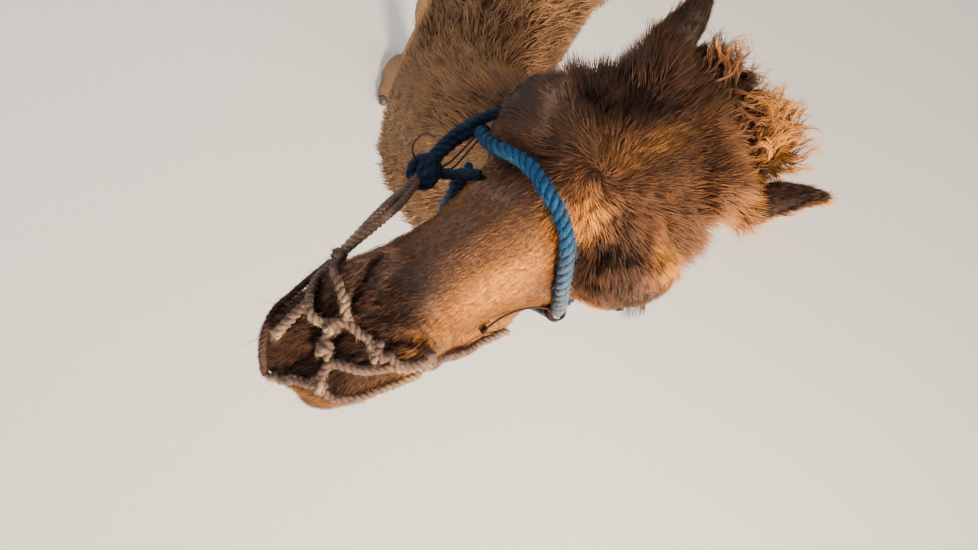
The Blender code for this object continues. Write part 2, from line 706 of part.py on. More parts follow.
# --- The halter ---------------------------------------------------------------------------------
# Routes are in the head's frame: +X to the camel's left, -Y towards the muzzle, 0 at the poll.
NOSEBAND = [
    (-0.101, -0.219, -0.068),
    (-0.080, -0.231, -0.049),
    (-0.059, -0.234, -0.034),
    (-0.041, -0.237, -0.020),
    (-0.022, -0.236, -0.009),
    (0.006, -0.241, -0.007),
    (0.036, -0.245, -0.018),
    (0.063, -0.243, -0.052),
    (0.078, -0.234, -0.092),
]
JAW_ROPE = [
    (0.078, -0.231, -0.098),
    (0.058, -0.214, -0.160),
    (0.036, -0.218, -0.208),
    (0.004, -0.226, -0.218),
    (-0.034, -0.238, -0.204),
    (-0.066, -0.258, -0.150),
    (-0.086, -0.280, -0.098),
]
SIDE_STRANDS = [
    [(-0.105, -0.215, -0.068), (-0.103, -0.240, -0.076), KNOT],
    [(-0.110, -0.212, -0.050), (-0.107, -0.240, -0.060), KNOT],
    [KNOT, (-0.082, -0.258, -0.062), (-0.074, -0.236, -0.062)],
]
HEADSTALL = [
    (0.080, -0.214, -0.100),
    (0.092, -0.160, -0.108),
    (0.094, -0.090, -0.096),
    (0.094, -0.010, -0.062),
    (0.084, 0.020, -0.024),
    (0.050, 0.020, 0.020),
    (0.004, 0.014, 0.036),
    (-0.046, 0.020, 0.024),
    (-0.084, 0.020, -0.020),
    (-0.094, -0.010, -0.062),
    (-0.094, -0.090, -0.096),
    (-0.100, -0.160, -0.104),
    (-0.108, -0.196, -0.084),
]
LOWER_KNOT, LEFT_JOINT = (-0.020, -0.438, -0.054), (0.031, -0.434, -0.049)
MIDDLE_KNOT, LOWER_JOINT = (-0.016, -0.460, -0.065), (0.010, -0.463, -0.069)
CHIN_JOINT, RIGHT_JOINT = (0.017, -0.475, -0.083), (-0.058, -0.414, -0.064)
LEFT_END = (0.067, -0.294, -0.091)
NET_STRANDS = [
    [KNOT, (-0.078, -0.322, -0.074), (-0.066, -0.378, -0.050), RIGHT_JOINT],
    [RIGHT_JOINT, (-0.046, -0.421, -0.060), (-0.033, -0.432, -0.046), LOWER_KNOT],
    [LOWER_KNOT, (0.007, -0.437, -0.052), LEFT_JOINT],
    [LOWER_KNOT, MIDDLE_KNOT],
    [RIGHT_JOINT, (-0.052, -0.432, -0.078), (-0.040, -0.452, -0.068), MIDDLE_KNOT],
    [(-0.040, -0.452, -0.068), (-0.035, -0.477, -0.070), (-0.036, -0.487, -0.084)],
    [MIDDLE_KNOT, (-0.002, -0.463, -0.068), LOWER_JOINT],
    [LOWER_JOINT, (0.023, -0.454, -0.062), LEFT_JOINT],
    [LOWER_JOINT, CHIN_JOINT],
    [CHIN_JOINT, (0.003, -0.486, -0.106), (-0.004, -0.486, -0.128)],
    [CHIN_JOINT, (0.036, -0.454, -0.116), (0.050, -0.405, -0.116), (0.058, -0.352, -0.106), LEFT_END],
    [LEFT_JOINT, (0.052, -0.402, -0.048), (0.058, -0.350, -0.084), LEFT_END],
]
LIP_CORD = [
    (-0.058, -0.408, -0.084),
    (-0.054, -0.440, -0.092),
    (-0.042, -0.480, -0.088),
    (-0.026, -0.494, -0.104),
    (-0.008, -0.490, -0.130),
]
THIN_CORD = [(0.066, -0.288, -0.092), (0.068, -0.262, -0.094), (0.077, -0.236, -0.098)]


def laid(route, radius, flesh, step=ROPE_STEP):
    """World points of a rope that follows its route over the flesh without sinking into it."""
    points = [tuple(HEAD @ Vector(p)) for p in route]
    length = sum(math.dist(a, b) for a, b in zip(points, points[1:]))
    if len(points) == 2:
        points = [points[0], tuple((Vector(points[0]) + Vector(points[1])) / 2), points[1]]
    path = [Vector(p) for p in spline(points, max(5, round(length / step) + 1))]
    for _ in range(8):
        inner = [(a + b + c * 2) / 4 for a, c, b in zip(path, path[1:], path[2:])]
        path = [path[0], *inner, path[-1]]
        for i, point in enumerate(path):
            near, normal, _, _ = flesh.find_nearest(point)
            if (point - near).dot(normal) < radius + ROPE_CLEARANCE:
                path[i] = near + normal * (radius + ROPE_CLEARANCE)
    return path


def rope(path, radius, sides=7):
    """A tube along the path, whose ring is carried along it without a twist."""
    ahead = [(b - a).normalized() for a, b in zip(path, path[1:])]
    ahead = [ahead[0], *[(a + b).normalized() for a, b in zip(ahead, ahead[1:])], ahead[-1]]
    across = ahead[0].orthogonal().normalized()
    rings = []
    for centre, forward in zip(path, ahead):
        across = (across - across.dot(forward) * forward).normalized()
        beside = forward.cross(across)
        turns = [2 * math.pi * i / sides for i in range(sides)]
        spokes = [across * math.cos(turn) + beside * math.sin(turn) for turn in turns]
        rings.append(np.array([tuple(centre + spoke * radius) for spoke in spokes]))
    return closed_loft(rings)


def clear_of(mesh, others, name):
    """The mesh's largest body once it stands a small gap clear of the others."""
    for other in others:
        mesh = boolean(mesh, grown(other, TOUCH_GAP, name + "_room"), "DIFFERENCE", name)
    return largest(mesh)


def halter_meshes(flesh_meshes):
    """The halter's pieces by finish: thick blue rope, tan net round the muzzle, thin dark cords."""
    points, faces = [], []
    for mesh in flesh_meshes:
        offset = len(points)
        points += [tuple(v.co) for v in mesh.vertices]
        faces += [tuple(i + offset for i in face.vertices) for face in mesh.polygons]
    flesh = BVHTree.FromPolygons(points, faces)

    def tubes(routes, radius, sides=7, step=ROPE_STEP):
        return [rope(laid(route, radius, flesh, step), radius, sides) for route in routes]

    knot_forms = tubes(SIDE_STRANDS, NOSEBAND_RADIUS * 0.72)
    knot_forms.append(placed(ball(KNOT, (0.017, 0.023, 0.019), (30, 0, 20)), HEAD))
    second_turn = Vector(KNOT) + Vector((-0.004, 0.012, -0.010))
    knot_forms.append(placed(ball(second_turn, (0.015, 0.017, 0.013)), HEAD))
    knot = melted(knot_forms, 0.0026, 1, KNOT_TRIANGLES, "halter_knot")
    noseband = mesh_of(tubes([NOSEBAND], NOSEBAND_RADIUS, 8, 0.012), "halter_noseband")
    noseband = clear_of(noseband, flesh_meshes, "halter_noseband")
    jaw_rope = mesh_of(tubes([JAW_ROPE], NOSEBAND_RADIUS, 8, LONG_ROPE_STEP), "halter_jaw_rope")
    headstall = mesh_of(tubes([HEADSTALL], HEADSTALL_RADIUS, 6, LONG_ROPE_STEP), "halter_headstall")
    net = melted(tubes(NET_STRANDS, NET_RADIUS), 0.0024, 1, NET_TRIANGLES, "halter_net")
    lip_cord = mesh_of(tubes([LIP_CORD], LIP_CORD_RADIUS, 6), "halter_lip_cord")
    thin_cord = mesh_of(tubes([THIN_CORD], THIN_CORD_RADIUS, 6), "halter_thin_cord")

    knot = clear_of(knot, [noseband, *flesh_meshes], "halter_knot")
    jaw_rope = clear_of(jaw_rope, [noseband, knot, *flesh_meshes], "halter_jaw_rope")
    headstall = clear_of(headstall, [noseband, jaw_rope, knot, *flesh_meshes], "halter_headstall")
    net = clear_of(net, [knot, jaw_rope, *flesh_meshes], "halter_net")
    lip_cord = clear_of(lip_cord, [net, *flesh_meshes], "halter_lip_cord")
    thin_cord = clear_of(thin_cord, [net, noseband, jaw_rope, *flesh_meshes], "halter_thin_cord")
    blue = {"halter_noseband": noseband, "halter_jaw_rope": jaw_rope, "halter_knot": knot}
    blue["halter_headstall"] = headstall
    return blue, {"halter_net": net}, {"halter_lip_cord": lip_cord, "halter_thin_cord": thin_cord}


# --- Building -----------------------------------------------------------------------------------
def material(name):
    """A plain finish of the named colour."""
    made = bpy.data.materials.new(name)
    made.use_nodes = True
    shader = made.node_tree.nodes["Principled BSDF"]
    shader.inputs["Base Color"].default_value = (*COLOURS[name], 1)
    shader.inputs["Roughness"].default_value = 0.12 if name == "eye" else 0.8
    return made


def centred(meshes):
    """Moves all meshes so that the origin lies below the middle of their common box."""
    places = np.array([tuple(v.co) for mesh in meshes for v in mesh.vertices])
    middle = (places.min(axis=0) + places.max(axis=0)) / 2
    for mesh in meshes:
        mesh.transform(Matrix.Translation((-middle[0], -middle[1], 0)))


def main():
    """Builds every part and gives it its finish."""
    clear_scene()
    parts = flesh_parts()
    eyes = eye_meshes(parts)
    nails = nail_meshes(parts)
    ears = ear_meshes(parts)
    blue, tan, dark = halter_meshes([parts["head"], parts["neck"], *ears.values()])
    finishes = {name: material(name) for name in COLOURS}
    groups = (
        (parts, "coat"),
        (ears, "coat"),
        (eyes, "eye"),
        (nails, "nail"),
        (blue, "blue_rope"),
        (tan, "tan_rope"),
        (dark, "dark_cord"),
    )
    centred([mesh for group, _ in groups for mesh in group.values()])
    for group, finish in groups:
        for name, mesh in group.items():
            made = object_of(mesh, name)
            made.data.materials.clear()
            made.data.materials.append(finishes[finish])
            made.data.shade_smooth()


main()
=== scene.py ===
"""A standing dromedary camel in its coat, wearing a rope halter, on a pale studio floor.

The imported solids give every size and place. One skin takes the place of the flesh, a coat of
tufts grows on it, and eyes, lashes, nails and the halter's ropes are pieces of their own.
"""

import json
import logging
import math
from dataclasses import dataclass
from enum import Enum

import bmesh
import bpy
import numpy as np
from bpy.types import ID, Collection, Material, Mesh, Node, NodeOutputs, NodeTree, Object
from bpy.types import NodeSocket as Socket
from mathutils import Matrix, Vector
from mathutils.bvhtree import BVHTree

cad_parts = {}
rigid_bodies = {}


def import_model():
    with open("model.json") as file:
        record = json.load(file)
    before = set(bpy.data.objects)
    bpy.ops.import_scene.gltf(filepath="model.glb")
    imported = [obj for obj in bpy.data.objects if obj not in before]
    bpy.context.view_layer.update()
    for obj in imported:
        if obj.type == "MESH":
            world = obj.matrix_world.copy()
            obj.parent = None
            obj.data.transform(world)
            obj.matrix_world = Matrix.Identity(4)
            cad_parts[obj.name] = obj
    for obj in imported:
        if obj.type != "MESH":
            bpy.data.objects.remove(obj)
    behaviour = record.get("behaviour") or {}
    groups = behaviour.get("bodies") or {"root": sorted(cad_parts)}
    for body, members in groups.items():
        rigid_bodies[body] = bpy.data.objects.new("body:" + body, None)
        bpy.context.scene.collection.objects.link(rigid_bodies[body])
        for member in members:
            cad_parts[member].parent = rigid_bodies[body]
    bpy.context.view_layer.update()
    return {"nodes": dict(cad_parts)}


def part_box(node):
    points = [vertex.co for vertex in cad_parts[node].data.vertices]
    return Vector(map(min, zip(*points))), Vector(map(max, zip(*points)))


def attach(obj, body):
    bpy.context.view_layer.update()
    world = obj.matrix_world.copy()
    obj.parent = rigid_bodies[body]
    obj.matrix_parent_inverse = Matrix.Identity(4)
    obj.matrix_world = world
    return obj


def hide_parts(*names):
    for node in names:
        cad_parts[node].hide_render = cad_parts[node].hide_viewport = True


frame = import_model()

LOG = logging.getLogger("camel")
Array = np.ndarray
Point = tuple[float, float, float]
Colour = tuple[float, float, float]
LEFT, RIGHT = 1, -1
TURN = 2 * math.pi


# --- Small tools --------------------------------------------------------------------------------
def mm(*points: Point) -> tuple[Point, ...]:
    """Points that are given in millimetres, in metres."""
    return tuple(tuple(c / 1000 for c in point) for point in points)


def smooth_step(low: float, high: float, values: Array) -> Array:
    """Values turned into a soft step from 0 at low to 1 at high, which may be the smaller one."""
    share = np.clip((values - low) / (high - low), 0.0, 1.0)
    return share * share * (3 - 2 * share)


def blob(points: Array, centre: Point, radii: Point) -> Array:
    """A soft ellipsoid's weight at each point.

    Args:
        points: Places, one row each.
        centre: The ellipsoid's middle.
        radii: Its reach along x, y and z, where the weight has fallen to about a third.

    Returns:
        Weights from 0 to 1.
    """
    return np.exp(-(((points - np.array(centre)) / np.array(radii)) ** 2).sum(axis=1))


def blobs(points: Array, centre: Point, radii: Point) -> Array:
    """The weight of a soft ellipsoid and its mirror image across x."""
    x, y, z = centre
    return blob(points, centre, radii) + blob(points, (-x, y, z), radii)


def unit(vectors: Array) -> Array:
    """The vectors, one row each, with a length of 1."""
    return vectors / np.maximum(np.linalg.norm(vectors, axis=1), 1e-9)[:, None]


def blend(first: Array, second: Array, share: Array) -> Array:
    """Rows of vectors between the first and, where the share is 1, the second."""
    return first * (1 - share[:, None]) + second * share[:, None]


def rows(*columns: Array | float) -> Array:
    """Columns, of which some may be one number, as rows."""
    return np.stack(np.broadcast_arrays(*columns), axis=1).astype(float)


def along_line(points: Array, line: list | tuple | Array) -> tuple[Array, Array, Array]:
    """Measures points against a line of straight stretches.

    Args:
        points: Places, one row each.
        line: The line's corners.

    Returns:
        Each point's distance from the line, the direction of the nearest stretch, and the way
        from that stretch to the point.
    """
    nearest = np.full(len(points), np.inf)
    heading, aside = np.zeros_like(points), np.zeros_like(points)
    corners = np.array(line, float)
    for start, end in zip(corners, corners[1:]):
        span = end - start
        share = np.clip((points - start) @ span / (span @ span), 0, 1)
        offset = points - start - share[:, None] * span
        distance = np.linalg.norm(offset, axis=1)
        closer = distance < nearest
        nearest[closer] = distance[closer]
        heading[closer] = span / np.linalg.norm(span)
        aside[closer] = offset[closer]
    return nearest, heading, aside


def waves(points: Array, scale: float, seed: int) -> Array:
    """A smooth random field of three columns, each from about -1 to 1.

    Args:
        points: Places, one row each.
        scale: Metres between one crest and the next.
        seed: Fixes the draw.

    Returns:
        A row of three values for each point.
    """
    draw = np.random.default_rng(seed)
    total = np.zeros((len(points), 3))
    for _ in range(7):
        wave = draw.normal(size=(3, 3)) * 2 * math.pi / scale / 1.7
        total += np.sin(points @ wave + draw.uniform(0, TURN, 3))
    return total / 3.2


def vectors_of(items: bpy.types.bpy_prop_collection, key: str) -> Array:
    """A vector property of every item, such as the vertices' co, as rows of x, y and z."""
    flat = np.empty(len(items) * 3, np.float32)
    items.foreach_get(key, flat)
    return flat.reshape(-1, 3).astype(float)


def store(mesh: Mesh, name: str, values: Array, domain: str = "POINT") -> None:
    """Stores values on the mesh: whole numbers, numbers or vectors, by the array's shape and type."""
    kind = "FLOAT_VECTOR" if values.ndim == 2 else ("INT" if values.dtype.kind == "i" else "FLOAT")
    layer = mesh.attributes.new(name, kind, domain)
    word = "vector" if kind == "FLOAT_VECTOR" else "value"
    plain = values.astype(np.int32 if kind == "INT" else np.float32)
    layer.data.foreach_set(word, plain.ravel())


def plain_skin(mesh: Mesh, **values: float) -> None:
    """Stores what a coat reads on a small mesh of its own: even values, region 0 and a flat map."""
    for name, value in values.items():
        store(mesh, name, np.full(len(mesh.vertices), float(value)))
    store(mesh, "region", np.zeros(len(mesh.polygons), int), "FACE")
    spots = vectors_of(mesh.vertices, "co")[[loop.vertex_index for loop in mesh.loops]][:, [0, 2]]
    mesh.uv_layers.new(name="unwrap").data.foreach_set("uv", (spots % 1.0).ravel())


def show(data: ID, name: str) -> Object:
    """An object in the scene that shows the mesh, camera or light."""
    made = bpy.data.objects.new(name, data)
    bpy.context.scene.collection.objects.link(made)
    return made


def applied(obj: Object, name: str) -> Mesh:
    """The object's mesh with its modifiers applied. The object is removed."""
    bpy.context.view_layer.update()
    graph = bpy.context.evaluated_depsgraph_get()
    mesh = bpy.data.meshes.new_from_object(obj.evaluated_get(graph))
    mesh.name = name
    bpy.data.objects.remove(obj)
    return mesh


def mesh_from(shape: bmesh.types.BMesh, name: str) -> Mesh:
    """A mesh made from the shape, which is freed."""
    mesh = bpy.data.meshes.new(name)
    shape.to_mesh(mesh)
    shape.free()
    return mesh


def shape_of(*parts: Mesh) -> bmesh.types.BMesh:
    """The parts in one shape."""
    shape = bmesh.new()
    for part in parts:
        shape.from_mesh(part)
    return shape


def made_mesh(name: str, points: list, faces: list) -> Mesh:
    """A mesh of the points and faces, with its faces turned outwards."""
    rough = bpy.data.meshes.new(name)
    rough.from_pydata([tuple(p) for p in points], [], faces)
    shape = shape_of(rough)
    bpy.data.meshes.remove(rough)
    bmesh.ops.recalc_face_normals(shape, faces=shape.faces)
    return mesh_from(shape, name)


def solid_of(nodes: tuple | list, growth: float, name: str) -> Mesh:
    """Copies of solids in one mesh, merged and grown a little so that neighbours overlap.

    Args:
        nodes: The solids' names.
        growth: How far each is grown, in metres.
        name: The new mesh's name.

    Returns:
        The mesh.
    """
    grown = []
    for node in nodes:
        single = shape_of(frame["nodes"][node].data)
        bmesh.ops.remove_doubles(single, verts=single.verts, dist=1e-5)
        single.normal_update()
        for vertex in single.verts:
            vertex.co += vertex.normal * growth
        grown.append(mesh_from(single, name))
    return mesh_from(shape_of(*grown), name)


def remeshed(mesh: Mesh, voxel: float, smoothing: int, name: str) -> Mesh:
    """The mesh as one closed skin of even faces, smoothed."""
    helper = show(mesh, name)
    melt = helper.modifiers.new("Melt", "REMESH")
    melt.mode = "VOXEL"
    melt.voxel_size = voxel
    soften = helper.modifiers.new("Soften", "SMOOTH")
    soften.factor = 0.5
    soften.iterations = smoothing
    return applied(helper, name)


def carved(mesh: Mesh, cutter: Mesh, name: str) -> Mesh:
    """The mesh without what the cutter covers."""
    helper, tool = show(mesh, name), show(cutter, name + "_cutter")
    tool.hide_render = True
    cut = helper.modifiers.new("Cut", "BOOLEAN")
    cut.operation = "DIFFERENCE"
    cut.object = tool
    cut.solver = "EXACT"
    result = applied(helper, name)
    bpy.data.objects.remove(tool)
    return result


def egg(matrix: Matrix, radii: Point, name: str, segments: int = 32) -> Mesh:
    """An ellipsoid's mesh, placed by the matrix."""
    shape = bmesh.new()
    placed = matrix @ Matrix.Diagonal((*radii, 1))
    bmesh.ops.create_uvsphere(shape, u_segments=segments, v_segments=segments // 2, radius=1, matrix=placed)
    return mesh_from(shape, name)


# --- The head's own frame -----------------------------------------------------------------------
@dataclass(frozen=True)
class HeadFrame:
    """The head's own frame: +X to its left, -Y to its muzzle, 0 at the poll."""

    turn: float = math.radians(42)
    lift: float = math.radians(14)
    eye_at: Point = (0.094, -0.185, -0.047)
    lid_droop: float = math.radians(10)
    lid_slant: float = math.radians(14)

    def matrix(self) -> Matrix:
        """The matrix from the head's frame to the world."""
        corners = [Vector(c) for eye in ("eye_left", "eye_right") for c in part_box(eye)]
        middle = sum(corners, Vector()) / len(corners)
        turned = Matrix.Rotation(-self.turn, 4, "Z") @ Matrix.Rotation(-self.lift, 4, "X")
        return Matrix.Translation(middle - turned @ Vector((0, *self.eye_at[1:]))) @ turned

    def world(self, point: Point) -> Vector:
        """A point of the head's frame in the world."""
        return self.matrix() @ Vector(point)

    def turned(self, way: Point | Vector) -> Vector:
        """A direction of the head's frame in the world."""
        return self.matrix().to_3x3() @ Vector(way)

    def inward(self, points: Array) -> Array:
        """World points, one row each, in the head's frame."""
        matrix = np.array(self.matrix().inverted())
        return points @ matrix[:3, :3].T + matrix[:3, 3]

    def outward(self, vectors: Array) -> Array:
        """Directions of the head's frame, one row each, in the world."""
        return vectors @ np.array(self.matrix().to_3x3()).T

    def eyes(self) -> list[tuple[int, Vector]]:
        """Each eye's side and its middle in the head's frame."""
        x, y, z = self.eye_at
        return [(side, Vector((x * side, y, z))) for side in (LEFT, RIGHT)]

    def lid_tilt(self, side: int) -> Matrix:
        """How the lids of an eye are turned against the head."""
        slant = Matrix.Rotation(-self.lid_slant * side, 4, "Z")
        return Matrix.Rotation(-self.lid_droop, 4, "X") @ slant


HEAD = HeadFrame()


# --- Finishes -----------------------------------------------------------------------------------
class Tree:
    """Shorthand for building a node tree."""

    def __init__(self, tree: NodeTree) -> None:
        """Keeps the tree that the nodes are added to."""
        self.tree = tree

    def fill(self, made: Node, **inputs: object) -> Node:
        """Sets a node's inputs.

        Args:
            made: The node.
            **inputs: Input sockets by name, with _ for a space, or by number after an i. Each gets
                a value, or a link where it is given a socket.

        Returns:
            The node.
        """
        for key, value in inputs.items():
            number = key[1:]
            socket = made.inputs[int(number) if number.isdigit() else key.replace("_", " ")]
            if isinstance(value, Socket):
                self.tree.links.new(value, socket)
            else:
                socket.default_value = value
        return made

    def node(self, kind: str, settings: dict | None = None, **inputs: object) -> Node:
        """Adds a node of Blender's kind, with its own properties and its inputs as in fill."""
        made = self.tree.nodes.new(kind)
        for key, value in (settings or {}).items():
            setattr(made, key, value)
        return self.fill(made, **inputs)

    def math(self, operation: str, *values: object) -> Socket:
        """The result of a math node."""
        inputs = {f"i{i}": value for i, value in enumerate(values)}
        return self.node("ShaderNodeMath", {"operation": operation}, **inputs).outputs[0]

    def scale_add(self, value: object, times: object, plus: object) -> Socket:
        """The value times one number plus another."""
        return self.math("MULTIPLY_ADD", value, times, plus)

    def vector(self, operation: str, *values: object) -> Socket:
        """The result of a vector math node that gives a vector."""
        inputs = {f"i{i}": value for i, value in enumerate(values)}
        return self.node("ShaderNodeVectorMath", {"operation": operation}, **inputs).outputs[0]

    def scaled(self, vector: Socket, times: Socket) -> Socket:
        """The vector made longer or shorter."""
        made = self.node("ShaderNodeVectorMath", {"operation": "SCALE"}, i0=vector, Scale=times)
        return made.outputs[0]

    def mix(self, share: object, first: object, second: object) -> Socket:
        """A colour between two colours."""
        colours = [(*c, 1) if isinstance(c, tuple) else c for c in (first, second)]
        settings = {"data_type": "RGBA"}
        return self.node("ShaderNodeMix", settings, i0=share, i6=colours[0], i7=colours[1]).outputs[2]

    def stored(self, name: str, output: str = "Fac") -> Socket:
        """A value that the mesh carries under the name."""
        return self.node("ShaderNodeAttribute", {"attribute_name": name}).outputs[output]

    def noise(self, scale: float, detail: float, place: Socket | None = None, **more: float) -> Socket:
        """A noise's value, over the object's own space or over a given place."""
        if place is None:
            place = self.node("ShaderNodeTexCoord").outputs["Object"]
        made = self.node("ShaderNodeTexNoise", Vector=place, Scale=scale, Detail=detail, **more)
        return made.outputs["Fac"]

    def ranged(self, value: Socket, low: float, high: float) -> Socket:
        """The value's share of the way from low to high, held between 0 and 1."""
        return self.node("ShaderNodeMapRange", Value=value, From_Min=low, From_Max=high).outputs[0]

    def shaded(self, colour: Socket, value: Socket) -> Socket:
        """The colour made darker or lighter."""
        return self.node("ShaderNodeHueSaturation", Color=colour, Value=value).outputs["Color"]

    def bump(self, strength: float, distance: float, height: Socket) -> Socket:
        """The normal of a surface with fine relief."""
        made = self.node("ShaderNodeBump", Strength=strength, Distance=distance, Height=height)
        return made.outputs["Normal"]


def shader_of(name: str) -> tuple[Material, Tree, Node]:
    """A new material, its tree and its Principled shader."""
    made = bpy.data.materials.new(name)
    made.use_nodes = True
    return made, Tree(made.node_tree), made.node_tree.nodes["Principled BSDF"]


@dataclass(frozen=True)
class HairColours:
    """The colours that skin and coat share, so that both carry the same markings."""

    dark: Colour = (0.016, 0.0068, 0.0042)
    brown: Colour = (0.142, 0.059, 0.0270)
    golden: Colour = (0.76, 0.305, 0.042)
    grey: Colour = (0.135, 0.088, 0.076)
    fawn: Colour = (0.330, 0.200, 0.108)
    flesh: Colour = (0.040, 0.024, 0.020)
    brown_at: float = 0.42

    def socket(self, tree: Tree, shift: object) -> Socket:
        """The colour by the stored markings.

        Args:
            tree: The material's tree.
            shift: A socket or number that moves the tone, for variation.

        Returns:
            The colour's socket.
        """
        drift = tree.scale_add(tree.noise(34.0, 5.0, Roughness=0.6), 0.22, -0.11)
        level = tree.math("ADD", tree.math("ADD", tree.stored("tone"), drift), shift)
        ramp = tree.node("ShaderNodeValToRGB", Fac=level)
        stops = ((0.0, self.dark), (self.brown_at, self.brown), (1.0, self.golden))
        while len(ramp.color_ramp.elements) < len(stops):
            ramp.color_ramp.elements.new(0.5)
        for stop, (place_on_ramp, colour) in zip(ramp.color_ramp.elements, stops):
            stop.position = place_on_ramp
            stop.color = (*colour, 1)
        furry = tree.mix(tree.stored("ash"), ramp.outputs["Color"], self.grey)
        sandy = tree.mix(tree.stored("sand"), furry, self.fawn)
        return tree.mix(tree.stored("bare"), sandy, self.flesh)


@dataclass(frozen=True)
class SkinFinish:
    """Hide under the coat, with fine creases and the coat's own markings, painted darker than the coat as
    the shade between its hairs.
    """

    name: str = "hide"
    colours: HairColours = HairColours()
    hair_scale: float = 900.0

    def build(self) -> Material:
        """Makes the material."""
        made, tree, shader = shader_of(self.name)
        grain = tree.stored("grain", "Vector")
        hairs = tree.noise(self.hair_scale, 3.0, grain, Roughness=0.6)
        sand = tree.stored("sand")
        # Painted shade: the hide's tone is lowered below the coat's, as the shade between the hairs, a
        # little less on the body.
        shade_under_coat = tree.scale_add(sand, 0.17, -0.34)
        colour = self.colours.socket(tree, tree.scale_add(hairs, 0.44, shade_under_coat))
        contrast = tree.scale_add(sand, 2.9, 1.2)
        # Painted shade: the hide is dimmed, more on the body, as the shade under the coat.
        middle = tree.scale_add(sand, -0.26, 0.88)
        shade = tree.scale_add(tree.math("SUBTRACT", hairs, 0.5), contrast, middle)
        height = tree.scale_add(tree.noise(self.hair_scale, 3.0), 0.3, hairs)
        tree.fill(shader, Base_Color=tree.shaded(colour, shade), Normal=tree.bump(0.7, 0.0008, height))
        tree.fill(shader, Roughness=0.70, Specular_IOR_Level=0.25)
        return made


@dataclass(frozen=True)
class CoatFinish:
    """Hair: darker at the root and paler at the tip, partly in its tone and partly by painted shade among
    the hairs, and a little different from tuft to tuft.
    """

    name: str = "coat"
    colours: HairColours = HairColours()
    sheen: Colour = (1.0, 0.70, 0.42)

    def build(self) -> Material:
        """Makes the material."""
        made, tree, shader = shader_of(self.name)
        spread = tree.math("SUBTRACT", tree.stored("strand"), 0.5)
        contrast = tree.scale_add(tree.stored("sand"), -1.25, 1.0)
        nearer_tip = tree.math("MULTIPLY", tree.math("SUBTRACT", tree.stored("along"), 0.5), contrast)
        tipped = tree.math("MULTIPLY", nearer_tip, 0.30)
        colour = self.colours.socket(tree, tree.math("ADD", spread, tipped))
        # Painted shade: each hair's colour runs from dimmer at its root to brighter at its tip, as the shade
        # among the hairs.
        root_shaded = tree.shaded(colour, tree.scale_add(nearer_tip, 0.55, 0.93))
        tree.fill(shader, Base_Color=root_shaded, Roughness=0.55, Specular_IOR_Level=0.16)
        tree.fill(shader, Sheen_Weight=0.02, Sheen_Roughness=0.4, Sheen_Tint=(*self.sheen, 1))
        return made


@dataclass(frozen=True)
class FloorFinish:
    """The studio's plain pale floor."""

    name: str = "studio_floor"
    colour: Colour = (0.60, 0.585, 0.565)
    darkest: float = 0.94

    def build(self) -> Material:
        """Makes the material."""
        made, tree, shader = shader_of(self.name)
        dark = tuple(c * self.darkest for c in self.colour)
        tree.fill(shader, Base_Color=tree.mix(tree.noise(30.0, 6.0), dark, self.colour), Roughness=0.85)
        return made


# --- The hide -----------------------------------------------------------------------------------
class Region(Enum):
    """The stretches of hide that carry a coat piece each."""

    BARE = 0
    MUZZLE = 1
    FACE_LEFT = 2
    FACE_RIGHT = 3
    FOREHEAD = 4
    CROWN = 5
    EARS = 6
    NECK_UPPER = 7
    NECK_LOWER = 8
    TRUNK_LEFT = 9
    TRUNK_RIGHT = 10
    HUMP = 11
    LEGS = 12
    TAIL = 13
    NOSE = 14


